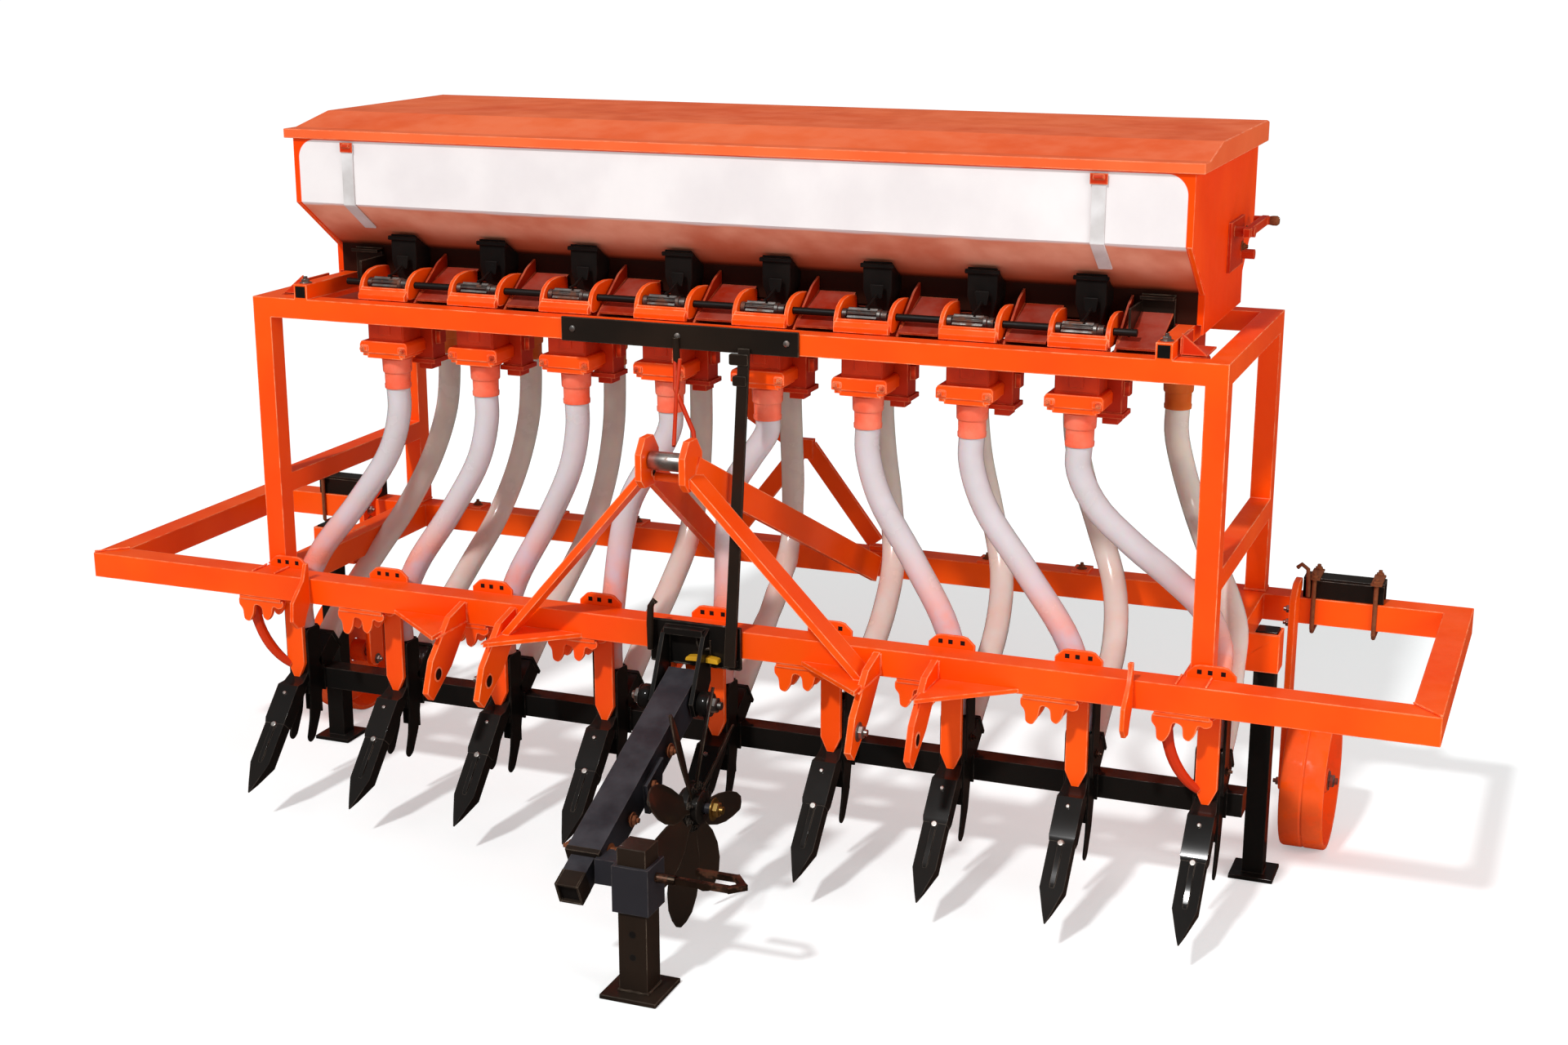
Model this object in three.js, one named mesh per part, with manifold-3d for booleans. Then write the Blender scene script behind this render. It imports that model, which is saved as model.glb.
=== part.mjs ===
// Tractor-mounted seed drill: a welded toolbar with tynes and seed boots, a rack that carries
// a long hopper with two rows of metering units, a three-point hitch frame, and a ground-driven
// star wheel on a hinged arm with its own parking stand.
// Millimetres, +Z up, +Y towards the rear. Heights are measured from the ground.
// The group is shifted at the end so that its origin is the bottom centre of its bounding box.
import * as THREE from 'three';
import { mergeVertices } from 'three/addons/utils/BufferGeometryUtils.js';
import Module from 'manifold-3d';

const wasm = await Module();
wasm.setup();

// ---- Driving dimensions ----
const TOUCH_GAP = 0.3; // between two pieces that touch
const RUNNING_GAP = 5; // between a moving piece and what it passes

const TOOLBAR_WIDTH = 2600;
const TOOLBAR_DEPTH = 620;
const TOOLBAR_TOP = 465;
const BEAM = 50;
const CROSS_MEMBER_X = 900; // centre of each cross member, which carries the rack posts

const RACK_TUBE = 38;
const RACK_HALF_WIDTH = 925;
const RACK_FRONT_Y = 60;
const RACK_TOP = TOOLBAR_TOP + 530;
const SIDE_RAIL_TOP = TOOLBAR_TOP + 180;
const BEARER_TUBE = 28;
const BEARER_X = 818; // centre of the tubes that carry the hopper's ends

const TYNE_COUNT = 9;
const TYNE_PITCH = 225;
const TYNE_ROW_SHIFT = 50; // the row of tynes sits this far towards +X
const SHANK_WIDTH = 38;
const SHANK_THICKNESS = 16;
const SHOVEL_WIDTH = 46;
const SHOVEL_THICKNESS = 14;
const TIP_Y = -120;
const TIP_HEIGHT = 55;

const BOOT_WIDTH = 46;
const BOOT_DEPTH = 46;
const TIE_BAR = 42;
const TIE_BAR_TOP = TOOLBAR_TOP - 222;

const HOPPER_HALF_WIDTH = 847;
const HOPPER_WALL = 4;
const HOPPER_FRONT_Y = 109;
const HOPPER_REAR_Y = 700;
const HOPPER_TOP = TOOLBAR_TOP + 838.7;
const LID_THICKNESS = 4;
const LID_OVERHANG = 16;

const FRONT_UNITS = 8;
const REAR_UNITS = 9;
const UNIT_PITCH = 190;
const FRONT_UNIT_Y = 142;
const REAR_UNIT_Y = 500;
const TUBE_DIAMETER = 45;

const GAUGE_WHEEL_RADIUS = 130;
const GAUGE_WHEEL_WIDTH = 80;
const GAUGE_WHEEL_X = 1040;
const GAUGE_WHEEL_Y = 520;

const STAR_RADIUS = 205;
const STAR_X = 108;
const STAR_HUB_Y = -236;
const STAR_HUB_HEIGHT = TOOLBAR_TOP - 239;
const STAR_BLADES = 8;

const ARM_TUBE = 60;
const ARM_PIVOT_Y = -60;
const ARM_PIVOT_HEIGHT = TOOLBAR_TOP - 121;
const ARM_SLOPE = 0.408; // radians below the horizontal, towards the front
const ARM_LENGTH = 405; // pivot to the arm's front end

const STAND_LEG = 50;
const FRONT_STAND_X = 118;
const FRONT_STAND_Y = -480;
const REAR_STAND_LEG = 38;
const REAR_STAND_X = 970;
const REAR_STAND_Y = 345;

// ---- Paints and metals ----
const ORANGE = { color: 0xe8500f, roughness: 0.35, metalness: 0.1 };
const BLACK = { color: 0x161616, roughness: 0.3, metalness: 0.2 };
const ZINC = { color: 0xa9a9a6, roughness: 0.35, metalness: 0.9 };
const MILKY = { color: 0xd8d2d4, roughness: 0.4, metalness: 0 };

// ---- Making solids ----
function toSolid(geometry) {
  const bare = geometry.clone();
  bare.deleteAttribute('normal');
  bare.deleteAttribute('uv');
  const merged = mergeVertices(bare, 1e-4);
  return new wasm.Manifold(new wasm.Mesh({
    numProp: 3,
    vertProperties: new Float32Array(merged.attributes.position.array),
    triVerts: new Uint32Array(merged.index.array),
  }));
}

function toGeometry(solid) {
  const mesh = solid.getMesh();
  const geometry = new THREE.BufferGeometry();
  geometry.setAttribute('position', new THREE.BufferAttribute(mesh.vertProperties, 3));
  geometry.setIndex(new THREE.BufferAttribute(mesh.triVerts, 1));
  geometry.computeVertexNormals();
  return geometry;
}

function join(solids) {
  return solids.reduce((whole, piece) => whole.add(piece));
}

// A block given by its low and high limits along each axis.
function block([x0, x1], [y0, y1], [z0, z1]) {
  const geometry = new THREE.BoxGeometry(x1 - x0, y1 - y0, z1 - z0);
  geometry.translate((x0 + x1) / 2, (y0 + y1) / 2, (z0 + z1) / 2);
  return toSolid(geometry);
}

function outline(points) {
  return new THREE.Shape(points.map(([a, b]) => new THREE.Vector2(a, b)));
}

// A plate whose outline is drawn in Y and Z, from x0 to x1.
function sidePlate(shape, x0, x1) {
  const geometry = new THREE.ExtrudeGeometry(shape, { depth: x1 - x0, bevelEnabled: false, curveSegments: 6 });
  geometry.rotateX(Math.PI / 2);
  geometry.rotateZ(Math.PI / 2);
  geometry.translate(x0, 0, 0);
  return toSolid(geometry);
}

// A plate whose outline is drawn in X and Z, from y0 to y1.
function frontPlate(shape, y0, y1) {
  const geometry = new THREE.ExtrudeGeometry(shape, { depth: y1 - y0, bevelEnabled: false, curveSegments: 6 });
  geometry.rotateX(Math.PI / 2);
  geometry.translate(0, y1, 0);
  return toSolid(geometry);
}

// A plate whose outline is drawn in X and Y, from z0 to z1.
function flatPlate(shape, z0, z1) {
  const geometry = new THREE.ExtrudeGeometry(shape, { depth: z1 - z0, bevelEnabled: false, curveSegments: 6 });
  geometry.translate(0, 0, z0);
  return toSolid(geometry);
}

function rodX(radius, x0, x1, y, z, sides = 16) {
  const geometry = new THREE.CylinderGeometry(radius, radius, x1 - x0, sides);
  geometry.rotateZ(Math.PI / 2);
  geometry.translate((x0 + x1) / 2, y, z);
  return toSolid(geometry);
}

function rodZ(radius, x, y, z0, z1, sides = 16) {
  const geometry = new THREE.CylinderGeometry(radius, radius, z1 - z0, sides);
  geometry.rotateX(Math.PI / 2);
  geometry.translate(x, y, (z0 + z1) / 2);
  return toSolid(geometry);
}

// A straight bar of rectangular section between two points; `wide` is measured along `side`.
function strut(from, to, wide, thick, side) {
  const start = new THREE.Vector3(...from);
  const end = new THREE.Vector3(...to);
  const along = end.clone().sub(start);
  const length = along.length();
  along.normalize();
  const across = new THREE.Vector3(...side);
  across.addScaledVector(along, -across.dot(along)).normalize();
  const normal = new THREE.Vector3().crossVectors(along, across);
  const geometry = new THREE.BoxGeometry(length, wide, thick);
  geometry.applyMatrix4(new THREE.Matrix4().makeBasis(along, across, normal));
  const middle = start.add(end).multiplyScalar(0.5);
  geometry.translate(middle.x, middle.y, middle.z);
  return toSolid(geometry);
}

const drill = new THREE.Group();

function addMesh(name, finish, geometry) {
  const mesh = new THREE.Mesh(geometry, new THREE.MeshStandardMaterial(finish));
  mesh.name = name;
  drill.add(mesh);
  return mesh;
}

function addSolid(name, finish, solids) {
  return addMesh(name, finish, toGeometry(join(solids)));
}

function spread(count, pitch) {
  return Array.from({ length: count }, (_, i) => (i - (count - 1) / 2) * pitch);
}

function tyneXs() {
  return spread(TYNE_COUNT, TYNE_PITCH).map((x) => x + TYNE_ROW_SHIFT);
}

function bothSides(makeSolids) {
  return [-1, 1].flatMap((side) => makeSolids((a, b) => (side < 0 ? [-b, -a] : [a, b]), side));
}

// ---- Toolbar ----
const BEAM_LEVEL = [TOOLBAR_TOP - BEAM, TOOLBAR_TOP];
const HALF_WIDTH = TOOLBAR_WIDTH / 2;
const STAND_SLEEVE_WALL = 5;
const STAND_SLEEVE_GAP = 0.8;
const SLEEVE_HALF = REAR_STAND_LEG / 2 + STAND_SLEEVE_GAP + STAND_SLEEVE_WALL;
const SLEEVE_BORE = REAR_STAND_LEG / 2 + STAND_SLEEVE_GAP;
const SLEEVE_RISE = 20;

const CROSS_INNER_X = CROSS_MEMBER_X - BEAM / 2;
const CROSS_OUTER_X = CROSS_MEMBER_X + BEAM / 2;

// The open bays between the beams, as [low X, high X].
const BAYS = [
  [-HALF_WIDTH + BEAM, -CROSS_OUTER_X],
  [-CROSS_INNER_X, CROSS_INNER_X],
  [CROSS_OUTER_X, HALF_WIDTH - BEAM],
];

function rearStandSleeve(span) {
  return block(
    span(CROSS_MEMBER_X, REAR_STAND_X + SLEEVE_HALF),
    [REAR_STAND_Y - SLEEVE_HALF, REAR_STAND_Y + SLEEVE_HALF],
    [BEAM_LEVEL[0] - SLEEVE_RISE, BEAM_LEVEL[1] + 2],
  );
}

function makeToolbar() {
  const slab = block([-HALF_WIDTH, HALF_WIDTH], [0, TOOLBAR_DEPTH], BEAM_LEVEL);
  const bays = BAYS.map((bay) => block(bay, [BEAM, TOOLBAR_DEPTH - BEAM], [0, RACK_TOP]));
  const frame = join([slab.subtract(join(bays)), ...bothSides((span) => [rearStandSleeve(span)])]);
  const bores = join(bothSides((span) => [
    block(
      span(REAR_STAND_X - SLEEVE_BORE, REAR_STAND_X + SLEEVE_BORE),
      [REAR_STAND_Y - SLEEVE_BORE, REAR_STAND_Y + SLEEVE_BORE],
      [0, RACK_TOP],
    ),
  ]));
  addMesh('main_frame', ORANGE, toGeometry(frame.subtract(bores)));
}

// ---- Rack that carries the hopper ----
const REAR_POST_Y = TOOLBAR_DEPTH - RACK_TUBE;
const RACK_INNER_X = RACK_HALF_WIDTH - RACK_TUBE;
const RACK_RAIL_LEVEL = [RACK_TOP - RACK_TUBE, RACK_TOP];

function makeRack() {
  const post = (span, y) => block(
    span(RACK_INNER_X, RACK_HALF_WIDTH),
    [y, y + RACK_TUBE],
    [TOOLBAR_TOP + TOUCH_GAP, RACK_TOP],
  );
  const sideRail = (span, top) => block(
    span(RACK_INNER_X, RACK_HALF_WIDTH),
    [RACK_FRONT_Y + RACK_TUBE / 2, REAR_POST_Y + RACK_TUBE / 2],
    [top - RACK_TUBE, top],
  );
  const endToEnd = [-RACK_HALF_WIDTH + 1, RACK_HALF_WIDTH - 1];
  addSolid('rack_frame', ORANGE, [
    block(endToEnd, [RACK_FRONT_Y, RACK_FRONT_Y + RACK_TUBE], RACK_RAIL_LEVEL),
    block(endToEnd, [REAR_POST_Y, REAR_POST_Y + RACK_TUBE], RACK_RAIL_LEVEL),
    ...bothSides((span) => [
      post(span, RACK_FRONT_Y),
      post(span, REAR_POST_Y),
      sideRail(span, RACK_TOP),
      sideRail(span, SIDE_RAIL_TOP),
      block(
        span(BEARER_X - BEARER_TUBE / 2, BEARER_X + BEARER_TUBE / 2),
        [RACK_FRONT_Y, TOOLBAR_DEPTH],
        [RACK_TOP - 1, RACK_TOP + BEARER_TUBE],
      ),
    ]),
  ]);
}

const RACK_BAR_X = [-268, 187];
const RACK_BAR_THICKNESS = 5;

function makeRackBar() {
  addSolid('rack_bar', BLACK, [
    block(
      RACK_BAR_X,
      [RACK_FRONT_Y - RACK_BAR_THICKNESS - TOUCH_GAP, RACK_FRONT_Y - TOUCH_GAP],
      [RACK_TOP - RACK_TUBE - 2, RACK_TOP + 4],
    ),
  ]);
}

// ---- Hitch frame ----
const MAST_TOP = TOOLBAR_TOP + 320; // top-link pin height
const MAST_PIN_Y = -80;
const MAST_EAR_X = 35; // inner face of each top-link ear
const MAST_PLATE = 12;
const MAST_LEG_DEPTH = 50;
const LOWER_PLATE_X = 355;
const OUTER_PLATE_X = 460;
const LOWER_PIN_Y = -100;
const LOWER_PIN_HEIGHT = TOOLBAR_TOP - 100;
const BRACE_END_X = 163; // where each back brace meets the rear beam
const REAR_APEX_HEIGHT = TOOLBAR_TOP + 200;
const REAR_APEX_Y = TOOLBAR_DEPTH - 30;

function lowerPlateShape() {
  return outline([
    [-TOUCH_GAP, TOOLBAR_TOP - BEAM],
    [-TOUCH_GAP, TOOLBAR_TOP - 6],
    [-60, TOOLBAR_TOP - 20],
    [-128, TOOLBAR_TOP - 84],
    [-150, TOOLBAR_TOP - 140],
    [-132, TOOLBAR_TOP - 158],
    [-60, TOOLBAR_TOP - 112],
  ]);
}

function gusset(xPlate, xEnd) {
  return flatPlate(
    outline([[xPlate, -118], [xPlate, -TOUCH_GAP], [xEnd, -TOUCH_GAP]]),
    TOOLBAR_TOP - 48,
    TOOLBAR_TOP - 40,
  );
}

function earShape() {
  const centre = MAST_TOP;
  return outline([
    [MAST_PIN_Y - 36, centre - 30],
    [MAST_PIN_Y - 36, centre + 16],
    [MAST_PIN_Y - 16, centre + 42],
    [MAST_PIN_Y + 16, centre + 42],
    [MAST_PIN_Y + 38, centre + 14],
    [MAST_PIN_Y + 38, centre - 46],
    [MAST_PIN_Y - 20, centre - 46],
  ]);
}

function makeHitchMast() {
  const sides = bothSides((span, side) => [
    sidePlate(earShape(), ...span(MAST_EAR_X, MAST_EAR_X + MAST_PLATE)),
    sidePlate(lowerPlateShape(), ...span(LOWER_PLATE_X - MAST_PLATE / 2, LOWER_PLATE_X + MAST_PLATE / 2)),
    strut(
      [side * (MAST_EAR_X + 8), MAST_PIN_Y + 4, MAST_TOP - 24],
      [side * (LOWER_PLATE_X - 2), -34, TOOLBAR_TOP - 52],
      MAST_LEG_DEPTH,
      MAST_PLATE + 1,
      [0, 1, 0],
    ),
    gusset(side * LOWER_PLATE_X, side * (LOWER_PLATE_X - 140)),
    strut(
      [side * (MAST_EAR_X + 8), MAST_PIN_Y + 10, MAST_TOP - 14],
      [side * BRACE_END_X, TOOLBAR_DEPTH - BEAM - 14.5, TOOLBAR_TOP - 30],
      MAST_LEG_DEPTH,
      MAST_PLATE,
      [0, 0, 1],
    ),
  ]);
  const spacer = rodX(8, -MAST_EAR_X - 6, MAST_EAR_X + 6, MAST_PIN_Y + 22, MAST_TOP - 34);
  addSolid('hitch_mast', ORANGE, [...sides, spacer]);
}

function makeTopLinkPin() {
  const span = MAST_EAR_X - TOUCH_GAP;
  addSolid('top_link_pin', ZINC, [rodX(13, -span, span, MAST_PIN_Y, MAST_TOP, 20)]);
}

function makeOuterHitchPlates() {
  [['left', -1], ['right', 1]].forEach(([word, side]) => {
    const near = side * (OUTER_PLATE_X - MAST_PLATE / 2);
    const far = side * (OUTER_PLATE_X + MAST_PLATE / 2);
    addSolid(`hitch_plate_${word}`, ORANGE, [
      sidePlate(lowerPlateShape(), Math.min(near, far), Math.max(near, far)),
      gusset(side * OUTER_PLATE_X, side * (OUTER_PLATE_X + 150)),
    ]);
  });
}

function makeRearBrace() {
  const plate = 10;
  const y = REAR_APEX_Y;
  addSolid('rear_brace', ORANGE, [
    ...bothSides((span, side) => [
      strut([side * 6, y, REAR_APEX_HEIGHT], [side * 150, y, TOOLBAR_TOP + 14], plate, 34, [0, 1, 0]),
      block(span(138, 176), [y - 10, y + 10], [TOOLBAR_TOP + TOUCH_GAP, TOOLBAR_TOP + 10]),
    ]),
    block([-16, 16], [y - 8, y + 8], [REAR_APEX_HEIGHT - 24, REAR_APEX_HEIGHT + 16]),
    strut([-4, y, REAR_APEX_HEIGHT - 6], [-118, y, TOOLBAR_TOP + 262], plate, 34, [0, 1, 0]),
    block([-136, -98], [y - 5, y + 5], [TOOLBAR_TOP + 250, RACK_TOP - RACK_TUBE - TOUCH_GAP]),
  ]);
}

// ---- Tynes, boots and tie bar ----
const SHANK_FRONT_Y = BEAM + TOUCH_GAP;
const SHANK_BACK_Y = SHANK_FRONT_Y + SHANK_THICKNESS;
const SHOVEL_TOP_HEIGHT = TOOLBAR_TOP - 240;

function shovelShape() {
  return outline([
    [SHANK_BACK_Y, SHOVEL_TOP_HEIGHT + 10],
    [SHANK_FRONT_Y - 14, SHOVEL_TOP_HEIGHT + 10],
    [10, SHOVEL_TOP_HEIGHT - 60],
    [-50, TIP_HEIGHT + 50],
    [TIP_Y, TIP_HEIGHT],
    [TIP_Y + 20, TIP_HEIGHT],
    [-30, TIP_HEIGHT + 42],
    [30, SHOVEL_TOP_HEIGHT - 66],
    [SHANK_BACK_Y, SHOVEL_TOP_HEIGHT - 20],
  ]);
}

function pointedShovel(x) {
  const blade = sidePlate(shovelShape(), x - SHOVEL_WIDTH / 2, x + SHOVEL_WIDTH / 2);
  const pointLength = 55;
  const point = outline([
    [x - SHOVEL_WIDTH / 2 - 1, SHOVEL_TOP_HEIGHT + 20],
    [x - SHOVEL_WIDTH / 2 - 1, TIP_HEIGHT + pointLength],
    [x, TIP_HEIGHT - 1],
    [x + SHOVEL_WIDTH / 2 + 1, TIP_HEIGHT + pointLength],
    [x + SHOVEL_WIDTH / 2 + 1, SHOVEL_TOP_HEIGHT + 20],
  ]);
  return blade.intersect(frontPlate(point, TIP_Y - 10, SHANK_BACK_Y + 10));
}

function makeTyne(number, x) {
  const capHalf = 34;
  const jaw = [x - 86, x + 10];
  const lug = (x0) => block([x0, x0 + 9], [6, 44], [TOOLBAR_TOP - BEAM - 52, TOOLBAR_TOP - BEAM - 6]);
  addSolid(`tyne_${number}`, ORANGE, [
    block(
      [x - SHANK_WIDTH / 2, x + SHANK_WIDTH / 2],
      [SHANK_FRONT_Y, SHANK_BACK_Y],
      [SHOVEL_TOP_HEIGHT, TOOLBAR_TOP + 7],
    ),
    block([x - capHalf, x + capHalf], [10, RACK_FRONT_Y - TOUCH_GAP], [TOOLBAR_TOP + TOUCH_GAP, TOOLBAR_TOP + 8]),
    block(
      jaw,
      [2, SHANK_FRONT_Y + 8],
      [TOOLBAR_TOP - BEAM - 8, TOOLBAR_TOP - BEAM - TOUCH_GAP],
    ),
    lug(jaw[0]),
    lug(jaw[1] - 9),
    pointedShovel(x),
  ]);
}

const BOOT_FRONT_Y = SHANK_BACK_Y + TOUCH_GAP;
const BOOT_TOP = TOOLBAR_TOP - 130; // the seed tube of the front row ends here
const BOOT_CHEEK_TOP = TOOLBAR_TOP - BEAM - 3;
const BOOT_CHEEK = 5;
const BOOT_BOTTOM = TOOLBAR_TOP - 364;
const INLET_SLOPE = 0.62; // radians above the horizontal, towards the rear
const INLET_MOUTH = [170, TOOLBAR_TOP - 178]; // Y and height where the rear row's tube ends
const INLET_LENGTH = 70;

function bootShape(top) {
  const y0 = BOOT_FRONT_Y;
  const y1 = BOOT_FRONT_Y + BOOT_DEPTH;
  return outline([
    [y0, top],
    [y0, BOOT_BOTTOM + 60],
    [y0 + 12, BOOT_BOTTOM + 12],
    [y0 + 24, BOOT_BOTTOM],
    [y0 + 40, BOOT_BOTTOM + 6],
    [y1, BOOT_BOTTOM + 40],
    [y1, top],
  ]);
}

// One cheek of each boot, on its outboard side, reaches up to the toolbar.
function bootCheek(x) {
  const inner = BOOT_WIDTH / 2 - 0.2;
  const outer = inner + BOOT_CHEEK;
  return x < TYNE_PITCH / 2
    ? sidePlate(bootShape(BOOT_CHEEK_TOP), x - outer, x - inner)
    : sidePlate(bootShape(BOOT_CHEEK_TOP), x + inner, x + outer);
}

function makeBoots() {
  const barY = BOOT_FRONT_Y + BOOT_DEPTH;
  const half = BOOT_WIDTH / 2;
  const [mouthY, mouthZ] = INLET_MOUTH;
  const stubEnd = [mouthY - Math.cos(INLET_SLOPE) * INLET_LENGTH, mouthZ - Math.sin(INLET_SLOPE) * INLET_LENGTH];
  const pieces = tyneXs().flatMap((x) => [
    sidePlate(bootShape(BOOT_TOP), x - half, x + half),
    bootCheek(x),
    strut([x, mouthY, mouthZ], [x, ...stubEnd], BOOT_WIDTH, 46, [1, 0, 0]),
  ]);
  const first = tyneXs()[0] - half;
  const last = tyneXs()[TYNE_COUNT - 1] + half;
  addSolid('boot_rail', BLACK, [
    ...pieces,
    block([first, last], [barY - 1, barY - 1 + TIE_BAR], [TIE_BAR_TOP - TIE_BAR, TIE_BAR_TOP]),
  ]);
}

// ---- Hopper and lid ----
const HOPPER_FLOOR = RACK_TOP + BEARER_TUBE + TOUCH_GAP;
const FRONT_KINK = TOOLBAR_TOP + 707;
const FRONT_FOOT = [240, TOOLBAR_TOP + 613];
const REAR_KINK = TOOLBAR_TOP + 690;
const REAR_FOOT = [600, TOOLBAR_TOP + 600];
const SKIRT_BOTTOM = RACK_TOP + 12;

function hopperOutside(floor) {
  return [
    [HOPPER_FRONT_Y, HOPPER_TOP],
    [HOPPER_FRONT_Y, FRONT_KINK],
    FRONT_FOOT,
    [FRONT_FOOT[0], floor],
    [REAR_FOOT[0], floor],
    REAR_FOOT,
    [HOPPER_REAR_Y, REAR_KINK],
    [HOPPER_REAR_Y, HOPPER_TOP],
  ];
}

function hopperInside() {
  const wall = HOPPER_WALL;
  return [
    [HOPPER_FRONT_Y + wall, HOPPER_TOP + 10],
    [HOPPER_FRONT_Y + wall, FRONT_KINK + 2],
    [FRONT_FOOT[0] + wall, FRONT_FOOT[1] + 2],
    [FRONT_FOOT[0] + wall, HOPPER_FLOOR + wall],
    [REAR_FOOT[0] - wall, HOPPER_FLOOR + wall],
    [REAR_FOOT[0] - wall, REAR_FOOT[1] + 2],
    [HOPPER_REAR_Y - wall, REAR_KINK + 2],
    [HOPPER_REAR_Y - wall, HOPPER_TOP + 10],
  ];
}

function makeHopper() {
  const inner = HOPPER_HALF_WIDTH - HOPPER_WALL;
  const body = sidePlate(outline(hopperOutside(HOPPER_FLOOR)), -HOPPER_HALF_WIDTH, HOPPER_HALF_WIDTH);
  const space = sidePlate(outline(hopperInside()), -inner, inner);
  const skirts = bothSides((span) => [
    sidePlate(outline(hopperOutside(SKIRT_BOTTOM)), ...span(inner, HOPPER_HALF_WIDTH)),
  ]);
  addSolid('hopper', ORANGE, [body.subtract(space), ...skirts]);
}

const LID_Y = [102, 714];
const LID_LIP_BOTTOM = HOPPER_TOP - 13;
const LID_EDGE = HOPPER_TOP + TOUCH_GAP;
const LID_RIDGE_Y = 255;
const LID_RISE = 22;

function lidTopLine(offset) {
  return [
    [LID_Y[0] + 40, LID_EDGE + offset],
    [LID_RIDGE_Y, LID_EDGE + LID_RISE + offset],
    [LID_Y[1] - 20, LID_EDGE + LID_RISE + offset],
  ];
}

function makeLid() {
  const t = LID_THICKNESS;
  const half = HOPPER_HALF_WIDTH + LID_OVERHANG;
  const outside = outline([
    [LID_Y[0], LID_LIP_BOTTOM],
    [LID_Y[0], LID_EDGE + t],
    ...lidTopLine(t),
    [LID_Y[1], LID_EDGE + LID_RISE + t - 4],
    [LID_Y[1], LID_LIP_BOTTOM],
  ]);
  const inside = outline([
    [LID_Y[0] + t, LID_LIP_BOTTOM - 10],
    [LID_Y[0] + t, LID_EDGE],
    ...lidTopLine(0),
    [LID_Y[1] - t, LID_EDGE + LID_RISE - 4],
    [LID_Y[1] - t, LID_LIP_BOTTOM - 10],
  ]);
  const shell = sidePlate(outside, -half, half).subtract(sidePlate(inside, -half + t, half - t));
  addMesh('hopper_lid', ORANGE, toGeometry(shell));
}

function slopeHeight(y) {
  const share = (y - HOPPER_FRONT_Y) / (FRONT_FOOT[0] - HOPPER_FRONT_Y);
  return FRONT_KINK + share * (FRONT_FOOT[1] - FRONT_KINK);
}

function makeLatchStraps() {
  const thick = 3;
  const face = HOPPER_FRONT_Y - TOUCH_GAP;
  const endY = 178;
  [['left', -730], ['right', 690]].forEach(([word, x]) => {
    const strap = outline([
      [face, HOPPER_TOP - 18],
      [face, FRONT_KINK - 0.2],
      [endY, slopeHeight(endY) - 0.5],
      [endY - 2, slopeHeight(endY) - 0.5 - thick],
      [face - thick, FRONT_KINK - 2],
      [face - thick, HOPPER_TOP - 18],
    ]);
    addSolid(`latch_strap_${word}`, ZINC, [sidePlate(strap, x - 12, x + 12)]);
  });
}

function makeRateLever() {
  const x0 = HOPPER_HALF_WIDTH + TOUCH_GAP;
  const z = TOOLBAR_TOP + 690;
  addSolid('rate_lever', ORANGE, [
    block([x0, x0 + 6], [430, 560], [z - 70, z + 18]),
    rodX(9, x0 + 2, x0 + 42, 460, z),
    rodX(9, x0 + 2, x0 + 30, 540, z - 50),
    block([x0 + 24, x0 + 36], [440, 640], [z - 8, z + 8]),
    rodX(8, x0 + 10, x0 + 52, 630, z),
  ]);
}

// ---- Metering units ----
const TRAY_FLOOR = RACK_TOP + 12;
const SHAFT_Y = 132;
const SHAFT_HEIGHT = TRAY_FLOOR + 16;
const SHAFT_RADIUS = 7;
const ROLLER_RADIUS = 13;
const COUPLER_BOTTOM = TOOLBAR_TOP + 362;

function spout(x, y, top) {
  return [
    rodZ(29, x, y, COUPLER_BOTTOM + 26, top, 12),
    rodZ(25, x, y, COUPLER_BOTTOM, COUPLER_BOTTOM + 27, 12),
  ];
}

function housing(x, y, top) {
  return [
    block([x - 38, x + 38], [y - 38, y + 38], [TOOLBAR_TOP + 440, top]),
    block([x - 48, x + 48], [y - 42, y + 46], [TOOLBAR_TOP + 432, TOOLBAR_TOP + 448]),
    ...spout(x, y, TOOLBAR_TOP + 433),
  ];
}

function trayLip(x0, x1) {
  const notch = SHAFT_RADIUS + 0.3;
  return sidePlate(outline([
    [101, TRAY_FLOOR - 2],
    [101, TRAY_FLOOR + 10],
    [112, TRAY_FLOOR + 20],
    [SHAFT_Y - notch, TRAY_FLOOR + 22],
    [SHAFT_Y - notch, SHAFT_HEIGHT - notch],
    [SHAFT_Y + notch, SHAFT_HEIGHT - notch],
    [SHAFT_Y + notch, TRAY_FLOOR + 22],
    [FRONT_FOOT[0] - TOUCH_GAP, TRAY_FLOOR + 22],
    [FRONT_FOOT[0] - TOUCH_GAP, TRAY_FLOOR - 2],
  ]), x0, x1);
}

function makeFrontMeters() {
  const units = spread(FRONT_UNITS, UNIT_PITCH).flatMap((x) => [
    ...housing(x, FRONT_UNIT_Y, TRAY_FLOOR - 4),
    block([x - 45, x + 45], [101, FRONT_FOOT[0] - TOUCH_GAP], [TRAY_FLOOR - 8, TRAY_FLOOR]),
    trayLip(x - 51, x - 44),
    trayLip(x + 44, x + 51),
  ]);
  const reach = RACK_INNER_X - TOUCH_GAP;
  addSolid('front_meter_bank', ORANGE, [
    ...units,
    block([-reach, reach], [FRONT_UNIT_Y + 36, FRONT_UNIT_Y + 42], [RACK_TOP - 36, RACK_TOP - 6]),
  ]);
}

function makeRearMeters() {
  const units = spread(REAR_UNITS, UNIT_PITCH).flatMap((x) => (
    housing(x, REAR_UNIT_Y, HOPPER_FLOOR - TOUCH_GAP)
  ));
  const reach = RACK_INNER_X - TOUCH_GAP;
  addSolid('rear_meter_bank', ORANGE, [
    ...units,
    block([-reach, reach], [REAR_UNIT_Y + 36, REAR_UNIT_Y + 42], [RACK_TOP - 36, RACK_TOP - 6]),
  ]);
}

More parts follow.
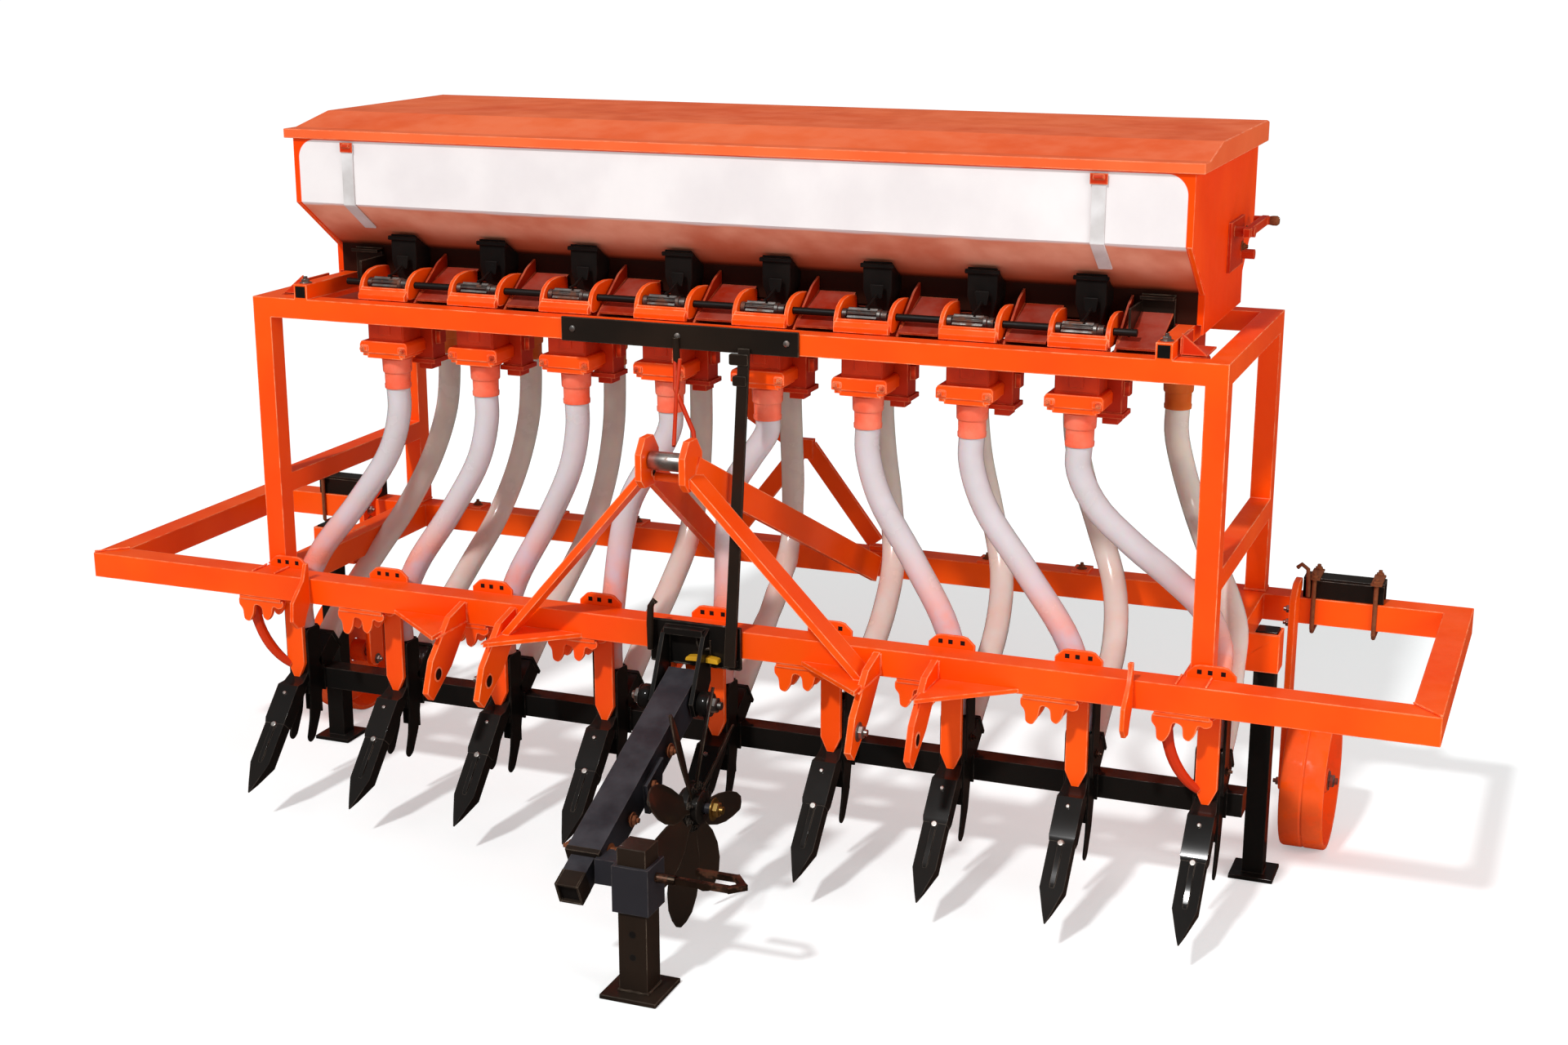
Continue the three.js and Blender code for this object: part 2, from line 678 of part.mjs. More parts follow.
function makeMeteringShaft() {
  const half = (FRONT_UNITS / 2) * UNIT_PITCH;
  const rollers = spread(FRONT_UNITS, UNIT_PITCH).map((x) => (
    rodX(ROLLER_RADIUS, x - 34, x + 34, SHAFT_Y, SHAFT_HEIGHT, 12)
  ));
  addSolid('metering_shaft', ZINC, [
    rodX(SHAFT_RADIUS, -half, half, SHAFT_Y, SHAFT_HEIGHT, 12),
    ...rollers,
  ]);
}

function makeFeedChutes() {
  const back = FRONT_FOOT[0] - TOUCH_GAP;
  const front = 172;
  const shape = outline([
    [front + 8, TRAY_FLOOR + 24],
    [front + 16, slopeHeight(front + 16) - 1],
    [back, slopeHeight(back) - 1],
    [back, TRAY_FLOOR + 24],
  ]);
  const reach = ((FRONT_UNITS - 1) / 2) * UNIT_PITCH;
  addSolid('feed_chutes', BLACK, [
    ...spread(FRONT_UNITS, UNIT_PITCH).map((x) => sidePlate(shape, x - 34, x + 34)),
    block([-reach, reach], [back - 12, back], [TRAY_FLOOR + 40, TRAY_FLOOR + 66]),
  ]);
}

// ---- Gauge wheels and rear stands ----
function makeGaugeWheel(word, side) {
  const half = GAUGE_WHEEL_WIDTH / 2;
  const r = GAUGE_WHEEL_RADIUS;
  const profile = [
    [11, -16], [26, -16], [26, -4], [r - 9, -4], [r - 9, -half], [r - 1, -half], [r, -half + 2],
    [r, half - 2], [r - 1, half], [r - 9, half], [r - 9, 4], [26, 4], [26, 16], [11, 16], [11, -16],
  ].map(([radius, along]) => new THREE.Vector2(radius, along));
  const geometry = new THREE.LatheGeometry(profile, 40);
  geometry.rotateZ(Math.PI / 2);
  geometry.translate(side * GAUGE_WHEEL_X, GAUGE_WHEEL_Y, r);
  let solid = toSolid(geometry);
  if (solid.volume() < 0) {
    profile.reverse();
    const turned = new THREE.LatheGeometry(profile, 40);
    turned.rotateZ(Math.PI / 2);
    turned.translate(side * GAUGE_WHEEL_X, GAUGE_WHEEL_Y, r);
    solid = toSolid(turned);
  }
  addMesh(`gauge_wheel_${word}`, ORANGE, toGeometry(solid));
}

function makeWheelBracket(word, side) {
  const span = (a, b) => (side < 0 ? [-b, -a] : [a, b]);
  const armX = GAUGE_WHEEL_X - GAUGE_WHEEL_WIDTH / 2 - RUNNING_GAP - 12;
  const top = TOOLBAR_TOP + TOUCH_GAP;
  addSolid(`wheel_bracket_${word}`, ORANGE, [
    block(span(armX, armX + 12), [495, 545], [GAUGE_WHEEL_RADIUS - 28, top + 44]),
    block(span(armX, armX + 12), [495, TOOLBAR_DEPTH], [top, top + 44]),
    block(span(armX, armX + 160), [575, 615], [top, top + 40]),
    rodX(9.5, ...span(armX + 2, GAUGE_WHEEL_X + 30), GAUGE_WHEEL_Y, GAUGE_WHEEL_RADIUS, 16),
    rodX(16, ...span(armX + 11, GAUGE_WHEEL_X - 16 - TOUCH_GAP), GAUGE_WHEEL_Y, GAUGE_WHEEL_RADIUS, 16),
  ]);
}

function makeRearStand(word, side) {
  const span = (a, b) => (side < 0 ? [-b, -a] : [a, b]);
  const half = REAR_STAND_LEG / 2;
  const foot = 40;
  addSolid(`rear_stand_${word}`, BLACK, [
    block(span(REAR_STAND_X - half, REAR_STAND_X + half), [REAR_STAND_Y - half, REAR_STAND_Y + half], [4, 470]),
    block(span(REAR_STAND_X - foot, REAR_STAND_X + foot), [REAR_STAND_Y - foot, REAR_STAND_Y + foot], [0, 8]),
  ]);
}

// ---- Ground drive ----
const ARM_DIRECTION = [0, -Math.cos(ARM_SLOPE), -Math.sin(ARM_SLOPE)];

function armPoint(along, above = 0) {
  return [
    0,
    ARM_PIVOT_Y - Math.cos(ARM_SLOPE) * along - Math.sin(ARM_SLOPE) * above,
    ARM_PIVOT_HEIGHT - Math.sin(ARM_SLOPE) * along + Math.cos(ARM_SLOPE) * above,
  ];
}

const STRAP_X = 88;
const STRAP_FOOT_Y = -24;
const CHEEK_X = ARM_TUBE / 2 + RUNNING_GAP;
const CHEEK_PLATE = 8;
const PIVOT_RADIUS = 12;
const FRONT_SLEEVE_WALL = 7;
const LOCK_PIN_RADIUS = 8;
const LOCK_PIN_RISE = 22;
const LOCK_LOOP_REACH = 130;

function makeDriveBracket() {
  const cheek = outline([
    [-TOUCH_GAP - 4, TOOLBAR_TOP + 4],
    [-TOUCH_GAP - 4, TOOLBAR_TOP - 96],
    [ARM_PIVOT_Y + 16, ARM_PIVOT_HEIGHT - 24],
    [ARM_PIVOT_Y - 14, ARM_PIVOT_HEIGHT - 22],
    [ARM_PIVOT_Y - 26, ARM_PIVOT_HEIGHT + 4],
    [-30, TOOLBAR_TOP - 8],
  ]);
  const bracket = join([
    block([-72, 102], [-8 - TOUCH_GAP, -TOUCH_GAP], [TOOLBAR_TOP - 70, TOOLBAR_TOP + 8]),
    block([STRAP_X - 9, STRAP_X + 9], [STRAP_FOOT_Y + 4.4, -4], [TOOLBAR_TOP - 62, TOOLBAR_TOP - 52]),
    ...bothSides((span) => [sidePlate(cheek, ...span(CHEEK_X, CHEEK_X + CHEEK_PLATE))]),
    block([-CHEEK_X - 2, CHEEK_X + 2], [-30, -4], [TOOLBAR_TOP - 10, TOOLBAR_TOP + 2]),
  ]);
  const reach = CHEEK_X + CHEEK_PLATE + 40;
  const bore = rodX(PIVOT_RADIUS + TOUCH_GAP, -reach, reach, ARM_PIVOT_Y, ARM_PIVOT_HEIGHT, 20);
  addMesh('drive_bracket', BLACK, toGeometry(bracket.subtract(bore)));
}

function makeDriveArm() {
  const start = armPoint(-52);
  const end = armPoint(ARM_LENGTH);
  const sleeveHalf = STAND_LEG / 2 + FRONT_SLEEVE_WALL;
  const sleeveTop = end[2] + 45;
  const sleeve = block(
    [FRONT_STAND_X - sleeveHalf, FRONT_STAND_X + sleeveHalf],
    [FRONT_STAND_Y - sleeveHalf, FRONT_STAND_Y + sleeveHalf],
    [sleeveTop - 80, sleeveTop],
  );
  const bore = block(
    [FRONT_STAND_X - STAND_LEG / 2 - STAND_SLEEVE_GAP, FRONT_STAND_X + STAND_LEG / 2 + STAND_SLEEVE_GAP],
    [FRONT_STAND_Y - STAND_LEG / 2 - STAND_SLEEVE_GAP, FRONT_STAND_Y + STAND_LEG / 2 + STAND_SLEEVE_GAP],
    [0, TOOLBAR_TOP + 200],
  );
  const bridge = block(
    [ARM_TUBE / 2 - 4, FRONT_STAND_X - sleeveHalf + 2],
    [end[1] - 20, end[1] + 26],
    [end[2] - 22, end[2] + 22],
  );
  const hubPlate = sidePlate(outline([
    [STAR_HUB_Y - 24, STAR_HUB_HEIGHT - 16],
    [STAR_HUB_Y + 24, STAR_HUB_HEIGHT - 16],
    [STAR_HUB_Y + 34, armPoint(130)[2]],
    [STAR_HUB_Y - 34, armPoint(200)[2]],
  ]), ARM_TUBE / 2 - 2, ARM_TUBE / 2 + 8);
  addMesh('drive_arm', BLACK, toGeometry(join([
    strut(start, end, ARM_TUBE, ARM_TUBE, [1, 0, 0]),
    strut(armPoint(ARM_LENGTH - 10), armPoint(ARM_LENGTH + 62), 42, 42, [1, 0, 0]),
    rodX(PIVOT_RADIUS, -CHEEK_X - CHEEK_PLATE - 24, CHEEK_X + CHEEK_PLATE + 24, ARM_PIVOT_Y, ARM_PIVOT_HEIGHT, 20),
    hubPlate,
    rodX(9, ARM_TUBE / 2 + 2, STAR_X + 46, STAR_HUB_Y, STAR_HUB_HEIGHT),
    bridge,
    sleeve,
  ]).subtract(bore)));
}

function leafShape() {
  const half = 22;
  const shape = new THREE.Shape();
  shape.moveTo(-14, 20);
  shape.lineTo(14, 20);
  shape.lineTo(half, 90);
  shape.lineTo(half - 3, STAR_RADIUS - 26);
  shape.quadraticCurveTo(half - 8, STAR_RADIUS, 0, STAR_RADIUS);
  shape.quadraticCurveTo(-half + 8, STAR_RADIUS, -half + 3, STAR_RADIUS - 26);
  shape.lineTo(-half, 90);
  return shape;
}

function makeDriveWheel() {
  const blades = Array.from({ length: STAR_BLADES }, (_, i) => {
    const blade = new THREE.ExtrudeGeometry(leafShape(), { depth: 6, bevelEnabled: false, curveSegments: 3 });
    blade.rotateX(Math.PI / 2);
    blade.translate(0, 3, 0);
    blade.rotateX((i / STAR_BLADES) * Math.PI * 2 + 0.2);
    blade.translate(STAR_X, STAR_HUB_Y, STAR_HUB_HEIGHT);
    return toSolid(blade);
  });
  const hub = rodX(30, STAR_X - 22, STAR_X + 22, STAR_HUB_Y, STAR_HUB_HEIGHT, 20);
  const bore = rodX(9 + TOUCH_GAP, STAR_X - 60, STAR_X + 60, STAR_HUB_Y, STAR_HUB_HEIGHT, 20);
  addMesh('drive_wheel', BLACK, toGeometry(join([hub, ...blades]).subtract(bore)));
}

function makeFrontStand() {
  const half = STAND_LEG / 2;
  const foot = 50;
  addSolid('front_stand_leg', BLACK, [
    block(
      [FRONT_STAND_X - half, FRONT_STAND_X + half],
      [FRONT_STAND_Y - half, FRONT_STAND_Y + half],
      [4, armPoint(ARM_LENGTH)[2] + 75],
    ),
    block(
      [FRONT_STAND_X - foot, FRONT_STAND_X + foot],
      [FRONT_STAND_Y - foot, FRONT_STAND_Y + foot],
      [0, 8],
    ),
  ]);
}

function makeStandLockPin() {
  const sleeveFace = FRONT_STAND_X + STAND_LEG / 2 + FRONT_SLEEVE_WALL + TOUCH_GAP;
  const turn = sleeveFace + LOCK_LOOP_REACH;
  const height = armPoint(ARM_LENGTH)[2] + LOCK_PIN_RISE;
  const at = (x, back) => [x, FRONT_STAND_Y + back, height];
  addSolid('stand_lock_pin', ZINC, [
    rodX(LOCK_PIN_RADIUS, sleeveFace, sleeveFace + 34, FRONT_STAND_Y, height),
    strut(at(sleeveFace + 30, 0), at(turn, 0), 10, 10, [0, 0, 1]),
    strut(at(turn - 6, -4), at(turn + 18, 20), 10, 10, [0, 0, 1]),
    strut(at(turn + 16, 14), at(turn - 10, 46), 10, 10, [0, 0, 1]),
    strut(at(turn - 4, 42), at(sleeveFace + 52, 42), 10, 10, [0, 0, 1]),
  ]);
}

function makeTieStrap() {
  addSolid('tie_strap', BLACK, [
    strut([STRAP_X, 51, RACK_TOP - 30], [STRAP_X, STRAP_FOOT_Y, TOOLBAR_TOP - 60], 22, 6, [1, 0, 0]),
  ]);
}

// ---- Seed tubes ----
const TUBE_SIDES = 5;
const TUBE_STEPS = 10;

function makeTube(name, points) {
  const route = new THREE.CatmullRomCurve3(points.map((point) => new THREE.Vector3(...point)), false, 'centripetal');
  const section = new THREE.Shape();
  section.absarc(0, 0, TUBE_DIAMETER / 2, 0, Math.PI * 2);
  const geometry = new THREE.ExtrudeGeometry(section, {
    steps: TUBE_STEPS,
    curveSegments: TUBE_SIDES,
    extrudePath: route,
    bevelEnabled: false,
  });
  addMesh(name, MILKY, toGeometry(toSolid(geometry)));
}

// A route lists [share of the sideways shift, Y, drop below the coupler].
const FRONT_ROUTE = [
  [0, 142, 0], [0, 142, 50], [0.12, 143, 130], [0.48, 138, 240], [0.86, 112, 350], [1, 89.6, 440], [1, 89.6, 491],
];
const FRONT_ROUTE_LEFT_OF_BRACE = [
  [0, 142, 0], [0, 142, 30], [0.2, 142, 78], [0.5, 142, 124], [0.8, 140, 184], [0.95, 134, 250], [1, 112, 350],
  [1, 89.6, 440], [1, 89.6, 491],
];
const FRONT_ROUTE_INSIDE_BRACE = [
  [0, 142, 0], [0, 142, 26], [0.5, 142, 82], [0.98, 141, 140], [1.08, 134, 230], [1, 112, 350], [1, 89.6, 440],
  [1, 89.6, 491],
];
const FRONT_ROUTE_OVER_CROSS_MEMBER = [
  [0, 142, 0], [0, 142, 45], [0.12, 144, 108], [0.38, 149, 172], [0.66, 154, 228], [0.88, 153, 280],
  [0.985, 140, 334], [1, 113, 388], [1, 89.6, 446], [1, 89.6, 491],
];
const REAR_ROUTE = [
  [0, 500, 0], [0, 500, 50], [0.1, 501, 130], [0.4, 490, 235], [0.75, 448, 335], [0.95, 360, 412],
  [1, 251.6, 481.4], [1, 170.2, 539.5],
];
const REAR_ROUTE_OVER_CROSS_MEMBER = [
  [0, 500, 0], [0, 500, 50], [0.1, 496, 115], [0.32, 462, 194], [0.58, 400, 252], [0.72, 360, 278],
  [0.88, 312, 306], [1, 276, 346], [1, 258, 410], [1, 235, 493.2], [1, 170.2, 539.5],
];

const FRONT_ROUTE_EXCEPTIONS = {
  4: FRONT_ROUTE_LEFT_OF_BRACE,
  5: FRONT_ROUTE_INSIDE_BRACE,
  8: FRONT_ROUTE_OVER_CROSS_MEMBER,
};

function tubeRoute(route, x, target) {
  const top = COUPLER_BOTTOM - TOUCH_GAP;
  return route.map(([share, y, drop]) => [x + (target - x) * share, y, top - drop]);
}

function makeTubes() {
  const tynes = tyneXs();
  const frontTargets = [0, 1, 2, 3, 4, 6, 7, 8];
  spread(FRONT_UNITS, UNIT_PITCH).forEach((x, i) => {
    const route = FRONT_ROUTE_EXCEPTIONS[i + 1] ?? FRONT_ROUTE;
    makeTube(`front_tube_${i + 1}`, tubeRoute(route, x, tynes[frontTargets[i]]));
  });
  spread(REAR_UNITS, UNIT_PITCH).forEach((x, i) => {
    const route = i === REAR_UNITS - 1 ? REAR_ROUTE_OVER_CROSS_MEMBER : REAR_ROUTE;
    makeTube(`rear_tube_${i + 1}`, tubeRoute(route, x, tynes[i]));
  });
}

makeToolbar();
makeRack();
makeRackBar();
makeHitchMast();
makeTopLinkPin();
makeOuterHitchPlates();
makeRearBrace();
tyneXs().forEach((x, i) => makeTyne(i + 1, x));
makeBoots();
makeHopper();
makeLid();
makeLatchStraps();
makeRateLever();
makeFrontMeters();
makeRearMeters();
makeMeteringShaft();
makeFeedChutes();
[['left', -1], ['right', 1]].forEach(([word, side]) => {
  makeGaugeWheel(word, side);
  makeWheelBracket(word, side);
  makeRearStand(word, side);
});
makeDriveBracket();
makeDriveArm();
makeDriveWheel();
makeFrontStand();
makeStandLockPin();
makeTieStrap();
makeTubes();

// The origin is the bottom centre of the whole drill's box.
const bounds = new THREE.Box3().setFromObject(drill);
drill.position.y = -(bounds.min.y + bounds.max.y) / 2;

export default drill;
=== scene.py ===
import math

import bmesh
import bpy
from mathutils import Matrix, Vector


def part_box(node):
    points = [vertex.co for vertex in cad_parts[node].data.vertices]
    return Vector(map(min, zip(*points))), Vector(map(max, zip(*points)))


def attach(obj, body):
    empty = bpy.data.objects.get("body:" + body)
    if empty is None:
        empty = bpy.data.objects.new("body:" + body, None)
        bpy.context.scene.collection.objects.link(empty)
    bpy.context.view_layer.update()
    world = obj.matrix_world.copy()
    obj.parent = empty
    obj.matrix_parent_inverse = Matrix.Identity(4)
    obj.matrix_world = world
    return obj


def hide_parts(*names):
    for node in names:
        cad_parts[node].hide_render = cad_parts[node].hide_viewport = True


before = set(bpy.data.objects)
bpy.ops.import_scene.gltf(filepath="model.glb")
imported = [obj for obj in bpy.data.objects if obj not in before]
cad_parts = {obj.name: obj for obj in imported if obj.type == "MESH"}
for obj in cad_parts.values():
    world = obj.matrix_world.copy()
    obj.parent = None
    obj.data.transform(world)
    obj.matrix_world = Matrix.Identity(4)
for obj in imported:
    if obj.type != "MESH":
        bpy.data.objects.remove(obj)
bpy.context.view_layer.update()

# ---- Places: drill millimetres, X along the toolbar, Y from its front face, Z from the ground ----
MM = 0.001
TOOLBAR_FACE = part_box("main_frame")[0].y
FRAME_BODY = "drill_frame"


def at(x, y, z):
    """A point of the drill, in the frame's metres."""
    return Vector((x * MM, TOOLBAR_FACE + y * MM, z * MM))


class Limits:
    """Where a part lies, in drill millimetres."""

    def __init__(self, name):
        low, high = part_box(name)
        self.x0, self.x1 = low.x / MM, high.x / MM
        self.y0, self.y1 = (low.y - TOOLBAR_FACE) / MM, (high.y - TOOLBAR_FACE) / MM
        self.z0, self.z1 = low.z / MM, high.z / MM
        self.x, self.y, self.z = (self.x0 + self.x1) / 2, (self.y0 + self.y1) / 2, (self.z0 + self.z1) / 2


BEAM = 50
BEAM_TOP = Limits("main_frame").z1
HOPPER_FRONT = Limits("hopper").y0
TYNE_X = [Limits(f"tyne_{n}").x for n in range(1, 10)]
UNIT_PITCH = 190
FRONT_UNIT_X = [(n - 3.5) * UNIT_PITCH for n in range(8)]
REAR_UNIT_X = [(n - 4) * UNIT_PITCH for n in range(9)]
FRONT_UNIT_Y, REAR_UNIT_Y = 142, 500
TUBE = 45
SIDES = (-1, 1)
HITCH_X = (355, 460)

CAMERA_PLACE = (1.511, -3.493, 1.673)
CAMERA_TILT, CAMERA_TURN = 74.706, 21.345
CAMERA_LENS, CAMERA_FILM = 50.1, 36


# ---- Camera ----
def stand_camera():
    data = bpy.data.cameras.new("camera")
    data.lens = CAMERA_LENS
    data.sensor_width = CAMERA_FILM
    camera = bpy.data.objects.new("camera", data)
    camera.location = CAMERA_PLACE
    camera.rotation_euler = (math.radians(CAMERA_TILT), 0, math.radians(CAMERA_TURN))
    bpy.context.scene.collection.objects.link(camera)
    bpy.context.scene.camera = camera


stand_camera()


# ---- Building shapes ----
def circle(sides, lean=0.0):
    return [2 * math.pi * k / sides + lean for k in range(sides)]


class Shape:
    """Forms in drill millimetres, gathered into one piece."""

    def __init__(self):
        self.mesh = bmesh.new()

    def skin(self, rings, looped=False):
        """A closed skin through matching rings of points."""
        rows = [[self.mesh.verts.new(point) for point in ring] for ring in rings]
        pairs = list(zip(rows, rows[1:])) + ([(rows[-1], rows[0])] if looped else [])
        for low, high in pairs:
            for n in range(len(low)):
                m = (n + 1) % len(low)
                self.mesh.faces.new((low[n], low[m], high[m], high[n]))
        if not looped:
            self.mesh.faces.new(rows[0][::-1])
            self.mesh.faces.new(rows[-1])

    def block(self, x, y, z):
        """A box between two places each way."""
        x = sorted(x)
        self.skin([[at(x[0], y[0], h), at(x[1], y[0], h), at(x[1], y[1], h), at(x[0], y[1], h)] for h in z])

    def plate(self, outline, across, low, high):
        """A plate from low to high across X or Y, with the outline in the two other directions."""
        self.skin([[at(level, a, b) if across == "x" else at(a, level, b) for a, b in outline]
                   for level in sorted((low, high))])

    def bar(self, start, end, wide, tall, over=(0, 0, 1)):
        """A rectangular bar between two points: tall along over, wide across it."""
        start, end = at(*start), at(*end)
        along = (end - start).normalized()
        side = along.cross(Vector(over)).normalized()
        top = side.cross(along)
        corners = [(-1, -1), (1, -1), (1, 1), (-1, 1)]
        self.skin([[p + side * (a * wide / 2 * MM) + top * (b * tall / 2 * MM) for a, b in corners]
                   for p in (start, end)])

    def rod(self, points, radius, sides=16, placed=False):
        """A round rod along the points; radius is one number or one for each point."""
        line = [Vector(p) for p in points] if placed else [at(*p) for p in points]
        sizes = radius if isinstance(radius, list) else [radius] * len(line)
        along = (line[1] - line[0]).normalized()
        side = along.orthogonal().normalized()
        rings = []
        for n, point in enumerate(line):
            ahead = (line[min(n + 1, len(line) - 1)] - line[max(n - 1, 0)]).normalized()
            side = (side - ahead * side.dot(ahead)).normalized()
            top = ahead.cross(side)
            rings.append([point + (side * math.cos(a) + top * math.sin(a)) * (sizes[n] * MM) for a in circle(sides)])
        self.skin(rings)

    def turned(self, profile, centre, sides=40, flutes=0, depth=0.0):
        """A closed profile of (along, radius) pairs turned about the X axis through the centre."""
        x, y, z = centre
        rings = []
        for along, radius in profile:
            cuts = [radius - (depth * (0.5 + 0.5 * math.cos(flutes * a)) if flutes else 0) for a in circle(sides)]
            rings.append([at(x + along, y + r * math.cos(a), z + r * math.sin(a))
                          for r, a in zip(cuts, circle(sides))])
        self.skin(rings, looped=True)

    def hex_bolt(self, centre, direction, size=9, height=7):
        """A hexagon head with its washer and a little of its thread."""
        centre, way = at(*centre), Vector(direction).normalized()
        side = way.orthogonal().normalized()
        top = way.cross(side)

        def ring(radius, out, sides):
            return [centre + way * out * MM + (side * math.cos(a) + top * math.sin(a)) * radius * MM
                    for a in circle(sides)]

        washer, washer_top, top_out = size * 1.45, 1.6, 1.6 + height
        self.skin([ring(washer, -0.4, 20), ring(washer, washer_top, 20)])
        self.skin([ring(size, washer_top, 6), ring(size, washer_top + height * 0.82, 6), ring(size * 0.86, top_out, 6)])
        self.skin([ring(size * 0.5, top_out, 12), ring(size * 0.5, 4 + height * 1.4, 12)])

    def bead(self, points, size=3.2, pitch=5.0):
        """An uneven weld bead along the points."""
        line = [at(*p) for p in points]
        stops = []
        for a, b in zip(line, line[1:]):
            steps = max(3, int((b - a).length / MM / pitch))
            for k in range(steps):
                stops.append(a.lerp(b, k / steps))
        stops.append(line[-1])
        sizes = [size * (0.78 + 0.22 * math.sin(n * 2.1) + 0.12 * math.sin(n * 5.3)) for n in range(len(stops))]
        self.rod(stops, sizes, sides=8, placed=True)


SHARP_ANGLE = 35


def break_edges(piece, edge, angle):
    bevel = piece.modifiers.new("broken_edges", "BEVEL")
    bevel.width = edge * MM
    bevel.segments = 2
    bevel.limit_method = "ANGLE"
    bevel.angle_limit = math.radians(angle)
    bevel.harden_normals = True


def make(shape, name, material, edge=1.2, replaces=None, body=FRAME_BODY):
    """Turns a shape into a piece with its finish, broken edges and body."""
    bmesh.ops.recalc_face_normals(shape.mesh, faces=shape.mesh.faces)
    mesh = bpy.data.meshes.new(name)
    shape.mesh.to_mesh(mesh)
    shape.mesh.free()
    if material:
        mesh.materials.append(material)
    for face in mesh.polygons:
        face.use_smooth = True
    piece = bpy.data.objects.new(name, mesh)
    bpy.context.scene.collection.objects.link(piece)
    if edge:
        break_edges(piece, edge, SHARP_ANGLE)
    else:
        mesh.set_sharp_from_angle(angle=math.radians(SHARP_ANGLE))
    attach(piece, body)
    if replaces:
        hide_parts(replaces)
    return piece


def rounded(points, radius, steps=4):
    """The outline with each corner rounded by up to the radius."""
    soft = []
    for n, (a, b) in enumerate(points):
        here = Vector((a, b))
        before, after = Vector(points[n - 1]), Vector(points[(n + 1) % len(points)])
        back, on = before - here, after - here
        reach = min(radius, back.length * 0.45, on.length * 0.45)
        first, last = here + back.normalized() * reach, here + on.normalized() * reach
        for k in range(steps + 1):
            t = k / steps
            spot = first * (1 - t) ** 2 + here * 2 * t * (1 - t) + last * t ** 2
            soft.append((spot.x, spot.y))
    return soft


# ---- Seed tubes: where each one goes, as [share of its sideways shift, Y, drop below the outlet] ----
OUTLET = 826.7
STRAIGHT_DOWN = [[0, 142, 0], [0, 142, 50], [0.12, 143, 130], [0.48, 138, 240], [0.86, 112, 350],
                 [1, 89.6, 440], [1, 89.6, 491]]
LEFT_OF_BRACE = [[0, 142, 0], [0, 142, 30], [0.2, 142, 78], [0.5, 142, 124], [0.8, 140, 184],
                 [0.95, 134, 250], [1, 112, 350], [1, 89.6, 440], [1, 89.6, 491]]
INSIDE_BRACE = [[0, 142, 0], [0, 142, 26], [0.5, 142, 82], [0.98, 141, 140], [1.08, 134, 230],
                [1, 112, 350], [1, 89.6, 440], [1, 89.6, 491]]
PAST_CROSS_MEMBER = [[0, 142, 0], [0, 142, 45], [0.12, 144, 108], [0.38, 149, 172], [0.66, 154, 228],
                     [0.88, 153, 280], [0.985, 140, 334], [1, 113, 388], [1, 89.6, 446], [1, 89.6, 491]]
REAR_DOWN = [[0, 500, 0], [0, 500, 50], [0.1, 501, 130], [0.4, 490, 235], [0.75, 448, 335],
             [0.95, 360, 412], [1, 251.6, 481.4], [1, 170.2, 539.5]]
REAR_PAST_CROSS_MEMBER = [[0, 500, 0], [0, 500, 50], [0.1, 496, 115], [0.32, 462, 194], [0.58, 400, 252],
                          [0.72, 360, 278], [0.88, 312, 306], [1, 276, 346], [1, 258, 410],
                          [1, 235, 493.2], [1, 170.2, 539.5]]
REAR_ROUTES = {9: REAR_PAST_CROSS_MEMBER}
FRONT_ROUTES = {4: LEFT_OF_BRACE, 5: INSIDE_BRACE, 8: PAST_CROSS_MEMBER}
FRONT_TARGETS = [0, 1, 2, 3, 4, 6, 7, 8]
TUBE_POINTS = 34
CRUMPLED_TUBE = 5
CRUMPLE_FROM, CRUMPLE_SPAN = 0.4, 0.45
CRUMPLE_PINCH, CRUMPLE_WRINKLE = 0.1, 0.07


def centripetal(points, count):
    """The smooth line through the points that the tubes follow."""
    padded = [2 * points[0] - points[1], *points, 2 * points[-1] - points[-2]]
    spans = len(points) - 1
    line = []
    for step in range(count):
        place = step / (count - 1) * spans
        span = min(int(place), spans - 1)
        t = place - span
        a, b, c, d = padded[span:span + 4]
        da, db, dc = ((q - p).length ** 0.5 for p, q in ((a, b), (b, c), (c, d)))
        leave = ((b - a) / da - (c - a) / (da + db) + (c - b) / db) * db
        arrive = ((c - b) / db - (d - b) / (db + dc) + (d - c) / dc) * db
        bend = 3 * (c - b) - 2 * leave - arrive
        turn = 2 * (b - c) + leave + arrive
        line.append(b + leave * t + bend * t ** 2 + turn * t ** 3)
    return line


def hang_tube(name, start_x, end_x, route, swell=None):
    """One hose from its outlet down to its boot, as a stiff hanging tube."""
    stops = [at(start_x + share * (end_x - start_x), y, OUTLET - drop) for share, y, drop in route]
    line = centripetal(stops, TUBE_POINTS)
    sizes = [TUBE / 2 * (swell(n / (TUBE_POINTS - 1)) if swell else 1) for n in range(TUBE_POINTS)]
    hose = Shape()
    hose.rod(line, sizes, sides=24, placed=True)
    tube = make(hose, name + "_hose", None, 0, name)
    return tube


def crumple(share):
    """The middle rear tube is pinched and wrinkled over its lower half."""
    inside = max(0.0, math.sin(math.pi * min(1.0, max(0.0, (share - CRUMPLE_FROM) / CRUMPLE_SPAN))))
    return 1 - inside * (CRUMPLE_PINCH + CRUMPLE_WRINKLE * math.sin(share * 60))


def hang_tubes():
    front = [hang_tube(f"front_tube_{n + 1}", x, TYNE_X[FRONT_TARGETS[n]], FRONT_ROUTES.get(n + 1, STRAIGHT_DOWN))
             for n, x in enumerate(FRONT_UNIT_X)]
    rear = [hang_tube(f"rear_tube_{n + 1}", x, TYNE_X[n], REAR_ROUTES.get(n + 1, REAR_DOWN),
                      crumple if n + 1 == CRUMPLED_TUBE else None) for n, x in enumerate(REAR_UNIT_X)]
    return front, rear


front_tubes, rear_tubes = hang_tubes()


